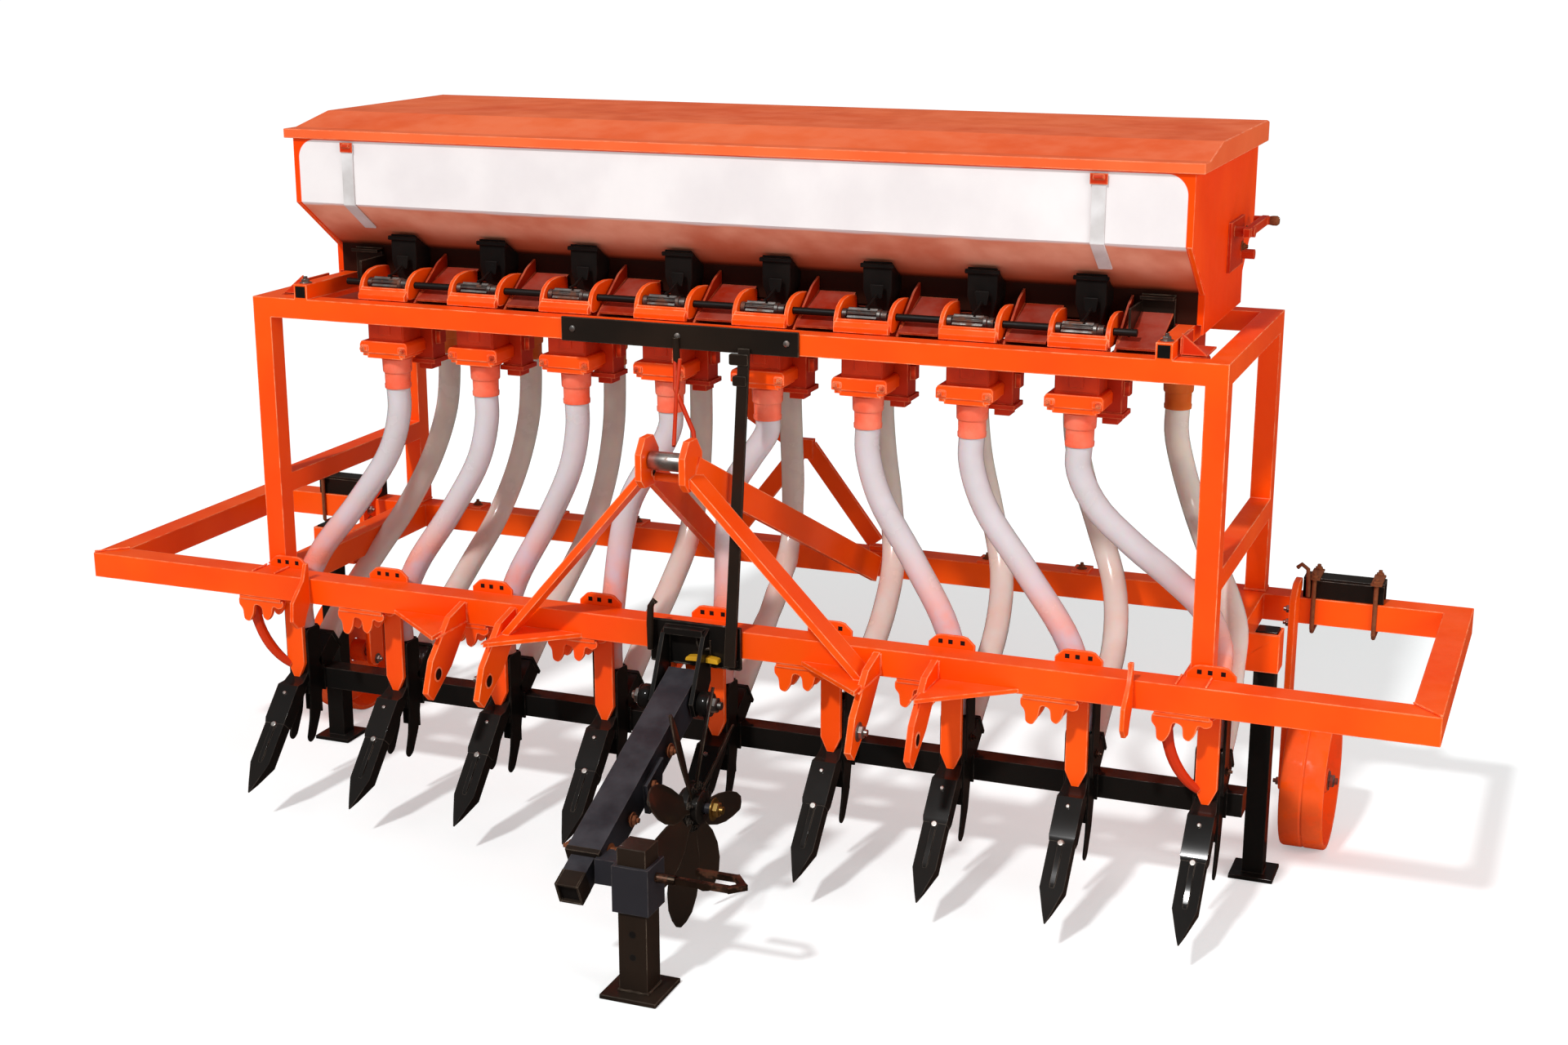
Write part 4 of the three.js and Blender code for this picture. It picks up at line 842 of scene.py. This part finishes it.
def make_front_units():
    """Housings, cut-offs, flanges, couplers and trays of the front row, and the metering shaft."""
    housings, flanges, trays, red, cutoffs, shaft = (Shape() for _ in range(6))
    for x in FRONT_UNIT_X:
        meter_housing(housings, x, FRONT_UNIT_Y, FRONT_HOUSING_TOP)
        meter_flange(flanges, x, FRONT_UNIT_Y)
        meter_coupler(red, x, FRONT_UNIT_Y)
        seed_cutoff(cutoffs, x)
        unit_tray(trays, x)
    housings.block((-703, 703), (178, 184), (959, 989))
    # The shaft between the trays is black so that it reads as shade: painted shade.
    shaft.rod([(-SHAFT_HALF, ROLLER_Y, ROLLER_Z), (SHAFT_HALF, ROLLER_Y, ROLLER_Z)], 6.4, sides=20)
    make(shaft, "metering_shaft_rod", BLACK_PLASTIC_AND_SHADE, 0.5, "metering_shaft", body="metering_shaft")
    make(housings, "front_housings", HOUSING, 2.2, FRONT_BANK)
    make(cutoffs, "seed_cutoffs", SHADED_ORANGE, 1.2, FRONT_BANK)
    make(flanges, "front_flanges", ORANGE, 1.2, FRONT_BANK)
    make(red, "front_couplers", COUPLER_RED, 1.5, FRONT_BANK)
    make(trays, "seed_trays", ORANGE, 0.8, FRONT_BANK)


def make_feed_row():
    """What feeds each front unit: chute, lever and fluted roller, with the flange bolts and the trays' wings."""
    wings, chutes, levers, rollers, bolts = (Shape() for _ in range(5))
    for x in FRONT_UNIT_X:
        meter_bolts(bolts, x, FRONT_UNIT_Y)
        for draw, shape in ((tray_wing, wings), (chute, chutes), (feed_lever, levers), (roller, rollers)):
            draw(shape, x)
    make(chutes, "seed_chutes", BLACK_PLASTIC_AND_SHADE, 2.0, "feed_chutes")
    make(levers, "feed_levers", BLACK_PLASTIC_AND_SHADE, 0.6)
    make(bolts, "flange_bolts", SHADED_ORANGE, 0.4)
    make(rollers, "feed_rollers", LEVER_STEEL, 0.6, "metering_shaft", body="metering_shaft")
    make(wings, "tray_wings", SHADE_DEEPENED_ORANGE, 0.8, FRONT_BANK)


def make_rear_units():
    """Housings, flanges and couplers of the rear row."""
    housings, flanges, amber = (Shape() for _ in range(3))
    for x in REAR_UNIT_X:
        meter_housing(housings, x, REAR_UNIT_Y, REAR_HOUSING_TOP)
        meter_flange(flanges, x, REAR_UNIT_Y)
        meter_coupler(amber, x, REAR_UNIT_Y)
    housings.block((-798, 798), (536, 542), (959, 989))
    make(housings, "rear_housings", HOUSING, 2.2, REAR_BANK)
    make(flanges, "rear_flanges", SHADED_ORANGE, 1.2, REAR_BANK)
    make(amber, "rear_couplers", COUPLER_AMBER, 1.5, REAR_BANK)


def make_bin_undertray():
    """Sheets between and behind the front units, under the hopper, in darker orange that stands in for the shade there:
    painted shade.
    """
    tray, end = Shape(), 790
    for x in [FRONT_UNIT_X[0] - UNIT_PITCH, *FRONT_UNIT_X]:
        tray.block((max(x + 50, -end), min(x + 140, end)), (116, 243), (984, 989))
    tray.block((-745, 745), (243, 455), (1014, 1019))
    tray.block((-800, 800), (243, 247), (990, 1019))
    make(tray, "bin_undertray", SHADE_DEEPENED_ORANGE)


# ---- Ground-driven star wheel ----
STAR_CENTRE = (108, -236, 226)
STAR_REACH = 205
LEAVES = 8
LEAF_TURNS = circle(LEAVES, math.pi / LEAVES)
LEAF_TWIST, LEAF_LEAN = math.radians(24), 5
LEAF_HALVES = [(26, 15), (50, 18), (80, 29), (115, 35), (150, 34), (178, 27), (195, 16), (STAR_REACH, 4)]
LEAF_SECTION = [(-1, -1.5), (-0.5, -3), (0.5, -3), (1, -1.5), (1, 1.5), (0.5, 3), (-0.5, 3), (-1, 1.5)]
HUB_BOLT_REACH = 37


def star_leaf(shape, turn, lean):
    """A broad rounded steel leaf, pinched at the hub, twisted a little and bent aside at its tip."""
    x, y, z = STAR_CENTRE
    rings = []
    for r, half in LEAF_HALVES:
        ring = []
        for share, thick in LEAF_SECTION:
            w = share * half
            across = w * math.cos(LEAF_TWIST)
            aside = w * math.sin(LEAF_TWIST) + lean * max(0, r - 70) / 135 + thick
            ring.append(at(x + aside, y + r * math.cos(turn) - across * math.sin(turn),
                           z + r * math.sin(turn) + across * math.cos(turn)))
        rings.append(ring)
    shape.skin(rings)


def make_star_wheel():
    leaves, hub = Shape(), Shape()
    hub.turned([(-22, 11), (-22, 24), (-18, 30), (-6, 30), (-6, 44), (6, 44), (6, 30), (18, 30), (22, 24), (22, 11)],
               STAR_CENTRE)
    x, y, z = STAR_CENTRE
    for n, turn in enumerate(LEAF_TURNS):
        star_leaf(leaves, turn, LEAF_LEAN if n % 2 else -LEAF_LEAN)
        hub.hex_bolt((x + 6, y + HUB_BOLT_REACH * math.cos(turn), z + HUB_BOLT_REACH * math.sin(turn)),
                     (1, 0, 0), 4.5, 3)
    make(leaves, "star_leaves", BLACK_WORN, 1.0, "drive_wheel", body="drive_wheel")
    make(hub, "star_hub", BLACK, 1.2, "drive_wheel", body="drive_wheel")


# ---- Gauge wheels and their brackets ----
def make_gauge_wheel(side):
    """A dished rim, its hub and its axle bolt."""
    name = f"gauge_wheel_{side}"
    wheel = Limits(name)
    outward = 1 if wheel.x > 0 else -1
    centre = (wheel.x, wheel.y, wheel.z)
    r, w = (wheel.z1 - wheel.z0) / 2, (wheel.x1 - wheel.x0) / 2
    dish = 8 * outward
    rim, hub, bolt = (Shape() for _ in range(3))
    rim.turned([(-w, r - 2), (-w * 0.9, r), (-3, r), (-1, r - 1.5), (1, r - 1.5), (3, r), (w * 0.9, r), (w, r - 2),
                (w, r - 9), (w * 0.8, r - 11), (dish + 5, r - 16), (dish * 0.4 + 4, r - 60), (dish * 0.2 + 4, 26),
                (dish * 0.2 - 4, 26), (dish * 0.4 - 4, r - 60), (dish - 5, r - 16), (-w * 0.8, r - 11), (-w, r - 9)],
               centre, sides=72)
    hub.turned([(-w * 0.8, 11), (-w * 0.8, 22), (-w * 0.7, 24), (w * 0.7, 24), (w * 0.8, 22), (w * 0.8, 11)], centre)
    bolt.rod([(wheel.x - w * 0.82, wheel.y, wheel.z), (wheel.x + w * 0.82, wheel.y, wheel.z)], 9.5)
    bolt.hex_bolt((wheel.x + outward * w * 0.82, wheel.y, wheel.z), (outward, 0, 0), 13, 9)
    make(rim, f"wheel_rim_{side}", WHEEL_ORANGE, 1.0, name, body=name)
    make(hub, f"wheel_hub_{side}", WHEEL_ORANGE, 1.0, name, body=name)
    make(bolt, f"wheel_axle_{side}", ZINC, 0.6, body=name)


def make_wheel_arm(side, s, inner):
    """The flat orange arm and the bolts on its inner face."""
    arm, bolts = Shape(), Shape()
    outline = rounded([(495, 112), (510, 102), (530, 102), (545, 112), (545, 470), (575, 484), (575, 505), (530, 505),
                       (495, 480)], 9)
    arm.plate(outline, "x", inner, inner + s * 12)
    for z in (116, 430, 456):
        bolts.hex_bolt((inner, 520, z), (-s, 0, 0), 8, 6)
    make(arm, f"wheel_arm_{side}", ORANGE, 1.2, f"wheel_bracket_{side}")
    make(bolts, f"wheel_arm_bolts_{side}", ZINC, 0.5)


def make_wheel_clamp(side, s, inner, outer):
    """The black channel on the beam, its two rusty U-bolts and a hook of bent rod."""
    channel, clips = Shape(), Shape()
    span = (inner + s * 13, outer)
    for x, y, z in ((span, (574, 616), (499, 505)), (span, (574, 579), (465.4, 500)),
                    (span, (611, 616), (465.4, 500)), ((span[0], inner + s * 19), (574, 616), (465.4, 500))):
        channel.block(x, y, z)
    front, back = 566, 624
    for x in (inner + s * 34, outer - s * 14):
        clips.rod([(x, front, 512), (x, front, 408), (x, front + 6, 401), (x, back - 6, 401), (x, back, 408),
                   (x, back, 512)], 4.2, sides=10)
        for y in (front, back):
            clips.hex_bolt((x, y, 505.4), (0, 0, 1), 7.5, 6)
        clips.bar((x, front - 6, 506), (x, back + 6, 506), 20, 4)
    clips.rod([(inner + s * out, y, z) for out, y, z in
               ((24, 566, 470), (24, 560, 500), (22, 560, 524), (10, 562, 532), (2, 564, 524))], 4, sides=10)
    make(channel, f"wheel_channel_{side}", BLACK_WORN, 1.2, f"wheel_bracket_{side}")
    make(clips, f"wheel_u_bolts_{side}", RUSTY, 0.4)


def make_wheel_bracket(side):
    bracket = Limits(f"wheel_bracket_{side}")
    s = 1 if bracket.x > 0 else -1
    inner, outer = (bracket.x0, bracket.x1) if s > 0 else (bracket.x1, bracket.x0)
    make_wheel_arm(side, s, inner)
    make_wheel_clamp(side, s, inner, outer)


# ---- Hitch, rack and drive details ----
HITCH_PIN = (-112, 352)
MAST_EAR_X, MAST_PIN = 41, (-66, 761)
PLATE_FACE = 6.3


def pin_eye(rings, darks, place, way, radius):
    """A pin hole in a hitch plate: a pressed rim round a bore drawn as a black disc of painted shade."""
    rings.turned([(0, radius), (0, radius + 3.4), (1.2 * way, radius + 3.0), (1.6 * way, radius)], place, sides=28)
    darks.turned([(0, 0.1), (0, radius), (0.5 * way, radius), (0.5 * way, 0.1)], place, sides=28)


def make_hitch_details():
    rings, darks, bolts, spacer = (Shape() for _ in range(4))
    for x in HITCH_X:
        for s in SIDES:
            for way in SIDES:
                place = (s * x + way * PLATE_FACE, *HITCH_PIN)
                if x == HITCH_X[0] and way == s:
                    bolts.hex_bolt(place, (way, 0, 0), 12, 9)
                else:
                    pin_eye(rings, darks, place, way, 11)
    for s in SIDES:
        for way in SIDES:
            pin_eye(rings, darks, (s * MAST_EAR_X + way * PLATE_FACE, *MAST_PIN), way, 7)
    spacer.rod([(x, -80, 785) for x in (-34.5, -30, 30, 34.5)], [15, 16.5, 16.5, 15], sides=32)
    make(rings, "hitch_eye_rims", ORANGE, 0.3)
    make(darks, "hitch_eye_bores", BLACK_PLASTIC_AND_SHADE, 0)
    make(bolts, "hitch_bolts", ZINC, 0.6)
    make(spacer, "top_link_spacer", ZINC, 0.6)


def make_stays():
    """Two thin orange stays from the rail down to the hitch peak."""
    stays = Shape()
    stays.bar((-45, 57, 952), (-44, 52, 930), 12, 4, (0, 1, 0))
    stays.rod([(-44, 52, 938), (-30, 20, 890), (20, -18, 826), (36, -44, 790)], 4.2, sides=12)
    stays.rod([(-34, 50, 938), (-24, 10, 880), (-10, -30, 830), (-2, -52, 806)], 3.6, sides=12)
    make(stays, "peak_stays", SHADED_ORANGE, 0.5)


def make_rail_bar_details():
    """Rivets along the black bar on the rail, and the tie strap's adjuster."""
    bar = Limits("rack_bar")
    rivet_z = 978
    rivets, strap = Shape(), Shape()
    for x in (bar.x0 + 22, bar.x, bar.x1 - 22):
        rivets.rod([(x, bar.y0 + out, rivet_z) for out in (0.5, -2, -3)], [6, 5.4, 3], sides=16)
    strap.rod([(-42, 51, 976), (-41, 51, 940), (-40, 49, 900), (-38, 46, 884)], [6, 6.5, 6, 4], sides=10)
    strap.plate(rounded([(62, 936), (98, 936), (98, 956), (62, 956)], 4), "y", 42, 50)
    strap.plate(rounded([(70, 900), (96, 900), (96, 918), (70, 918)], 4), "y", 38, 50)
    make(rivets, "rail_bar_rivets", ZINC, 0)
    make(strap, "tie_strap_adjuster", BLACK_WORN, 0.8)


PIVOT_Y, PIVOT_Z = -60, 344
PIVOT_BORE = 12.4
ARM_SLOPE = 0.408


def make_drive_details():
    """Bosses, nuts, the yellow pad, the curved pin and the welds of the drive bracket."""
    bosses, nuts, pad, pin, welds = (Shape() for _ in range(5))
    for profile in ([(-66, PIVOT_BORE), (-66, 21), (-62, 23), (-50, 23), (-46, 21), (-46, PIVOT_BORE)],
                    [(46, PIVOT_BORE), (46, 21), (50, 23), (62, 23), (66, 21), (66, PIVOT_BORE)]):
        bosses.turned(profile, (0, PIVOT_Y, PIVOT_Z))
    for way, height in ((-1, 10), (1, 12)):
        nuts.hex_bolt((67 * way, PIVOT_Y, PIVOT_Z), (way, 0, 0), 15, height)
    pad.plate(rounded([(2, 408), (30, 409), (66, 407), (64, 415), (46, 418), (20, 417), (4, 415)], 2.5), "y", -26, -9)
    pin.rod([(-66, -22, 420), (-67, -22, 470), (-66, -21, 500), (-60, -19, 512), (-56, -18, 506)],
            [6.5, 6.5, 6, 5, 4], sides=14)
    pin.rod([(20, -10, 455), (24, -20, 440), (34, -30, 432), (50, -26, 436)], 2.4, sides=8)
    welds.bead([(-70, -8, 396), (100, -8, 396)], 2.4)
    for x in (-44, 44):
        welds.bead([(x, -9, 398), (x, -9, 446)], 2.6)
    make(bosses, "pivot_bosses", BLACK, 1.0)
    make(nuts, "pivot_nuts", LEVER_STEEL, 0.6)
    make(pad, "yellow_pad", YELLOW, 1.5)
    make(pin, "bracket_pin", BLACK_WORN, 0.4)
    make(welds, "bracket_welds", BLACK_WORN, 0)


def on_arm(x, along, up=0.0):
    """A point so far along the arm from its pivot and so far over its middle line."""
    return (x, PIVOT_Y - along * math.cos(ARM_SLOPE) - up * math.sin(ARM_SLOPE),
            PIVOT_Z - along * math.sin(ARM_SLOPE) + up * math.cos(ARM_SLOPE))


def make_arm_details():
    """Bolts along the arm, the star wheel's axle nut and the open tube end with its rim."""
    nuts, axle, rim, mouth = (Shape() for _ in range(4))
    for s in SIDES:
        nuts.hex_bolt(on_arm(30.5 * s, 372), (s, 0, 0), 11, 10)
        nuts.hex_bolt(on_arm(42.5 * s, 372), (s, 0, 0), 8, 6)
    for along in (120, 205, 290):
        nuts.rod([on_arm(30, along, -4), on_arm(44, along, -4)], 7, sides=14)
        nuts.hex_bolt(on_arm(36, along, -4), (1, 0, 0), 9, 6)
    x, y, z = STAR_CENTRE
    axle.hex_bolt((x + 38, y, z), (1, 0, 0), 14, 10)
    wall = 19.6
    for shift in (-wall, wall):
        rim.bar(on_arm(shift, 440), on_arm(shift, 474), 4, 43)
    for shift in (-wall, wall):
        rim.bar(on_arm(0, 440, shift), on_arm(0, 474, shift), 36, 4)
    rim.bar(on_arm(0, 396), on_arm(0, 406.5), 62, 62)
    # The tube's mouth is a black plug: painted shade inside the open end.
    mouth.bar(on_arm(0, 460), on_arm(0, 467.6), 36, 36)
    make(nuts, "arm_bolts", RUSTY, 0.5, body="drive_arm")
    make(axle, "star_axle_nut", BRASS, 0.6, body="drive_arm")
    make(rim, "arm_stub_rim", BLACK_WORN, 0.8, body="drive_arm")
    make(mouth, "arm_stub_mouth", BLACK_PLASTIC_AND_SHADE, 0.5, body="drive_arm")


STAND_X, STAND_Y, STAND_HALF = 118, -480, 26
STAND_HOLES_Z = (70, 110)


def make_stand_details():
    """Weld round the front leg's foot, and its pin holes drawn as black discs of painted shade."""
    welds, holes = Shape(), Shape()
    x, y, half = STAND_X, STAND_Y, STAND_HALF
    welds.bead([(x + a * half, y + b * half, 9.5) for a, b in ((-1, -1), (1, -1), (1, 1), (-1, 1), (-1, -1))], 3)
    for z in STAND_HOLES_Z:
        holes.rod([(x, y - 25.4, z), (x, y - 24.5, z)], 6, sides=18)
    make(welds, "stand_foot_weld", BLACK_WORN, 0, body="front_stand_leg")
    make(holes, "stand_pin_holes", BLACK_PLASTIC_AND_SHADE, 0, body="front_stand_leg")


def make_frame_welds():
    """Weld beads where the toolbar, posts, plates and gussets meet."""
    welds = Shape()
    top, post_in, post_out = BEAM_TOP + 0.4, 887, 925
    for s in SIDES:
        for back, front in ((875, 875), (925, 925), (1250, 1298)):
            welds.bead([(s * back, 50, top), (s * front, 2, top)], 2.2)
        for y in (60, 582):
            welds.bead([(s * x, y + dy, top) for x, dy in ((post_in, 0), (post_out, 0), (post_out, 38), (post_in, 38),
                                                           (post_in, 0))], 2.8)
        for x in HITCH_X:
            for way in (-6.4, 6.4):
                welds.bead([(s * x + way, -0.4, 419), (s * x + way, -0.4, 457)], 3)
                welds.bead([(s * x + way, -4, 421), (s * x + way, -112, 421)], 2.6)
    make(welds, "frame_welds", ORANGE, 0)


def make_end_tyne_stays():
    """Bent flat stays from the clamp down to the foot of the first and the last shank."""
    stays = Shape()
    top, bend, foot = Vector((-66, 24, 392)), Vector((-64, 34, 306)), Vector((-13, 59, 262))
    line = [top.lerp(bend, k / 10).lerp(bend.lerp(foot, k / 10), k / 10) for k in range(11)]
    for x in (TYNE_X[0], TYNE_X[-1]):
        stays.rod([(x + p.x, p.y, p.z) for p in line], [11, 11, 10.5, 10, 10, 10, 10, 9.5, 9, 8, 6.5], sides=10)
    make(stays, "end_tyne_stays", SHADED_ORANGE, 0.8)


GUSSET_X = (-803, 797)
GUSSET_OUTLINE = [(-0.4, 497), (-8, 497), (-20, 466), (-58, 432), (-62, 396), (-46, 378), (-24, 376), (-14, 398),
                  (-0.4, 418)]


def make_post_foot_gussets():
    """Cut plates that run from the foot of each front post over the beam and hang in front of it."""
    plates, beads = Shape(), Shape()
    for x in GUSSET_X:
        plates.plate(GUSSET_OUTLINE, "x", x, x + 8)
        beads.bead([(x - 1, -1, 494), (x - 1, -1, 424)], 2.2)
    make(plates, "post_foot_gussets", ORANGE)
    make(beads, "gusset_welds", ORANGE, 0)


def make_rear_beam_ears():
    """Small folded ears and bolts where the seed units' links grip the rear beam."""
    ears, bolts = Shape(), Shape()
    front, back, top, half = 570, 620, 465, 17
    for x in REAR_UNIT_X:
        ears.block((x - half, x + half), (front + 6, back + 4), (top - 0.4, top + 3.6))
        ears.block((x - half, x + half), (back - 0.4, back + 4), (top - 24, top + 3.6))
        bolts.hex_bolt((x, front + 27, top + 3.2), (0, 0, 1), 7, 6)
    make(ears, "rear_beam_ears", ORANGE, 0.8)
    make(bolts, "rear_beam_bolts", RUSTY, 0.4)


def make_hopper_details():
    """Catches over the latch straps, the front lips of the ends and the fixings of the rate lever."""
    tabs, lips, knobs = (Shape() for _ in range(3))
    for x, wide in ((-730, 13), (690, 15)):
        tabs.block((x - wide, x + wide), (103.4, 105.4), (1268, 1286))
        tabs.rod([(x - wide * 0.6, 102, 1280), (x + wide * 0.6, 102, 1280)], 3.4, sides=12)
    for s in SIDES:
        lips.plate([(109, 1172), (106, 1172), (238, 1075), (240, 1078)], "x", s * 838, s * 846)
    knobs.rod([(x, 630, 1155) for x in (878, 892, 900, 904)], [6, 9, 9, 6], sides=20)
    knobs.hex_bolt((871, 470, 1155), (1, 0, 0), 7, 5)
    knobs.hex_bolt((853.6, 540, 1118), (1, 0, 0), 7, 5)
    make(tabs, "strap_catches", SHADED_ORANGE, 0.6)
    make(lips, "hopper_end_lips", ORANGE, 0.5)
    make(knobs, "rate_lever_fixings", RUSTY, 0.5)


BEARER_X = 818


def bin_end_arch(shape, s):
    """The black arched plate under the hopper's end, with its top flange and its side."""
    low, high = sorted((s * 742, s * 800))
    arch = [(low, 1000), (low + 14, 1000), (low + 18, 1030), ((low + high) / 2, 1042), (high - 18, 1030),
            (high - 14, 1000), (high, 1000), (high, 1074), (low, 1074)]
    shape.plate(arch, "y", 231, 236)
    shape.block((low, high), (214, 236), (1066, 1072))
    shape.block((s * 738, s * 742), (150, 236), (1000, 1060))


def make_bin_brackets():
    """Open tube ends, bolts and folded brackets at the two ends of the rack, and arched plates under the bin."""
    mouths, brackets, plates, bolts = (Shape() for _ in range(4))
    tip, root = 838, 880
    for s in SIDES:
        x = s * BEARER_X
        # The open tube end is a black block: painted shade inside the tube.
        mouths.block((x - 10.5, x + 10.5), (59.3, 61), (998, 1019.5))
        bolts.hex_bolt((x, 80, 1023.4), (0, 0, 1), 8, 6)
        wedge = [(s * tip, 996), (s * root, 996), (s * root, 1000), (s * tip, 1034)]
        brackets.plate(wedge, "y", 100, 105)
        brackets.block((s * tip, s * root), (100, 190), (995.4, 999))
        brackets.block((s * 836, s * 840), (100, 190), (999, 1026))
        bin_end_arch(plates, s)
    make(mouths, "bearer_mouths", BLACK_PLASTIC_AND_SHADE, 0)
    make(brackets, "bearer_brackets", SHADED_ORANGE, 0.8)
    make(plates, "bin_end_plates", BLACK_WORN, 0.8)
    make(bolts, "bearer_bolts", ZINC, 0.4)


BOOT_HALF = 23
CHEEK_SIDE_CHANGE = 112.5


def cheek_way(x):
    """The side of the boot that carries its tall cheek."""
    return -1 if x < CHEEK_SIDE_CHANGE else 1


def seed_boot(shape, x):
    """A folded boot: two side plates with a rounded toe, a back plate, the tall cheek and the tube's socket."""
    side = rounded([(66.8, 335), (112.6, 335), (112.6, 214), (98, 150), (74, 106), (58, 101), (50, 112),
                    (62, 150), (66.8, 196)], 9)
    for low in (x - BOOT_HALF, x + BOOT_HALF - 4):
        shape.plate(side, "x", low, low + 4)
    shape.block((x - BOOT_HALF + 4, x + BOOT_HALF - 4), (108.6, 112.4), (150, 335))
    shape.block((x - BOOT_HALF + 4, x + BOOT_HALF - 4), (67, 71), (200, 335))
    out = cheek_way(x)
    cheek = rounded([(68, 250), (112, 250), (112, 412), (84, 412), (68, 396)], 8)
    shape.plate(cheek, "x", x + out * (BOOT_HALF + 0.2), x + out * (BOOT_HALF + 5))
    shape.bar((x, 112, 244), (x, 170, 287), 46, 44)
    shape.bar((x, 165, 283.5), (x, 171, 288), 51, 49)


def make_boots():
    boots, bar, bolts = (Shape() for _ in range(3))
    rail = Limits("boot_rail")
    bar.block((rail.x0, rail.x1), (113, 153.6), (201, 243))
    for x in TYNE_X:
        seed_boot(boots, x)
        bar.block((x - 27, x + 27), (112.8, 117), (196, 248))
        bar.bead([(x - 28, 113, 244.4), (x - 28, 153, 244.4)], 2.2)
        out = cheek_way(x)
        for z in (212, 232):
            bolts.hex_bolt((x + out * 26, 132, z), (out, 0, 0), 7, 5)
        for z in (290, 392):
            bolts.hex_bolt((x + out * (BOOT_HALF + 5), 92, z), (out, 0, 0), 5.5, 4)
    make(boots, "seed_boots", BLACK, 1.2, "boot_rail")
    make(bar, "boot_tie_bar", BLACK, 2.0, "boot_rail")
    make(bolts, "boot_bolts", BRONZE, 0.5)


make_tynes()
make_front_units()
make_rear_units()
make_feed_row()
make_bin_undertray()
make_star_wheel()
for wheel_side in ("left", "right"):
    make_gauge_wheel(wheel_side)
    make_wheel_bracket(wheel_side)
make_hitch_details()
make_stays()
make_rail_bar_details()
make_drive_details()
make_arm_details()
make_stand_details()
make_frame_welds()
make_end_tyne_stays()
make_post_foot_gussets()
make_rear_beam_ears()
make_hopper_details()
make_bin_brackets()
make_boots()


# ---- Floor and light ----
FLOOR_HALF = 60
FLOOR_TONES = rgb(247, 252, 252), rgb(242, 248, 248)
FLOOR_MIRRORED = rgb(84, 62, 50)
FLOOR_GLOW, FLOOR_GLOW_SEEN, FLOOR_GLOW_SHARE = 0.1, 3.4, 0.1
WORLD_LEVEL, WORLD_MIRRORED = 0.4, 0.1
WHITE = (1, 1, 1, 1)
MIDDLE = (0, 0, 0.6)
KEY_PLACE, SOFT_BOX_PLACE, SIDE_BOX_PLACE = (-0.9, -4.6, 5.2), (-2.6, -3.8, 3.2), (4.6, -1.6, 2.1)
KEY_LEVEL, SOFT_BOX_LEVEL, SIDE_BOX_LEVEL = 2.0, 16, 86


def empty_tree(holder):
    """The holder's node tree, cleared, and the kinds of ray that reach it."""
    holder.use_nodes = True
    holder.node_tree.nodes.clear()
    return holder.node_tree, node(holder.node_tree, "ShaderNodeLightPath").outputs


def lay_floor():
    mesh = bpy.data.meshes.new("studio_floor")
    half = FLOOR_HALF
    mesh.from_pydata([(-half, -half, 0), (half, -half, 0), (half, half, 0), (-half, half, 0)], [], [(0, 1, 2, 3)])
    floor = bpy.data.objects.new("studio_floor", mesh)
    bpy.context.scene.collection.objects.link(floor)
    material = bpy.data.materials.new("studio_floor")
    tree, rays = empty_tree(material)
    place = node(tree, "ShaderNodeTexCoord").outputs["Object"]
    pale = colour_mix(tree, speckle(tree, place, 0.6), *FLOOR_TONES)
    ground = colour_mix(tree, rays["Is Glossy Ray"], pale, FLOOR_MIRRORED)
    matt = node(tree, "ShaderNodeBsdfDiffuse", {"Color": ground}).outputs[0]
    glow = rise(tree, rays["Is Camera Ray"], 0, 1, FLOOR_GLOW, FLOOR_GLOW_SEEN)
    lit = node(tree, "ShaderNodeEmission", {"Color": WHITE, "Strength": glow}).outputs[0]
    both = node(tree, "ShaderNodeMixShader", {0: FLOOR_GLOW_SHARE, 1: matt, 2: lit}).outputs[0]
    node(tree, "ShaderNodeOutputMaterial", {"Surface": both})
    mesh.materials.append(material)


def light_world():
    world = bpy.data.worlds.new("studio")
    bpy.context.scene.world = world
    tree, rays = empty_tree(world)
    level = rise(tree, rays["Is Glossy Ray"], 0, 1, WORLD_LEVEL, WORLD_MIRRORED)
    dim, white = (node(tree, "ShaderNodeBackground", {"Color": WHITE, "Strength": strength}).outputs[0]
                  for strength in (level, 1.0))
    both = node(tree, "ShaderNodeMixShader", {0: rays["Is Camera Ray"], 1: dim, 2: white}).outputs[0]
    node(tree, "ShaderNodeOutputWorld", {"Surface": both})


def hang_light(name, kind, energy, place, **settings):
    """A light that looks at the middle of the drill."""
    data = bpy.data.lights.new(name, kind)
    data.energy = energy
    for label, value in settings.items():
        setattr(data, label, value)
    light = bpy.data.objects.new(name, data)
    light.location = place
    light.rotation_euler = (Vector(MIDDLE) - Vector(place)).to_track_quat("-Z", "Y").to_euler()
    bpy.context.scene.collection.objects.link(light)
    return light


def hang_box(name, energy, place, wide, tall):
    box = hang_light(name, "AREA", energy, place, shape="RECTANGLE", size=wide, size_y=tall)
    box.visible_glossy = False


lay_floor()
light_world()
hang_light("key", "SUN", KEY_LEVEL, KEY_PLACE, angle=math.radians(4))
hang_box("soft_box", SOFT_BOX_LEVEL, SOFT_BOX_PLACE, 3.2, 1.6)
hang_box("side_box", SIDE_BOX_LEVEL, SIDE_BOX_PLACE, 2.6, 1.8)
bpy.context.scene.view_settings.view_transform = "Standard"
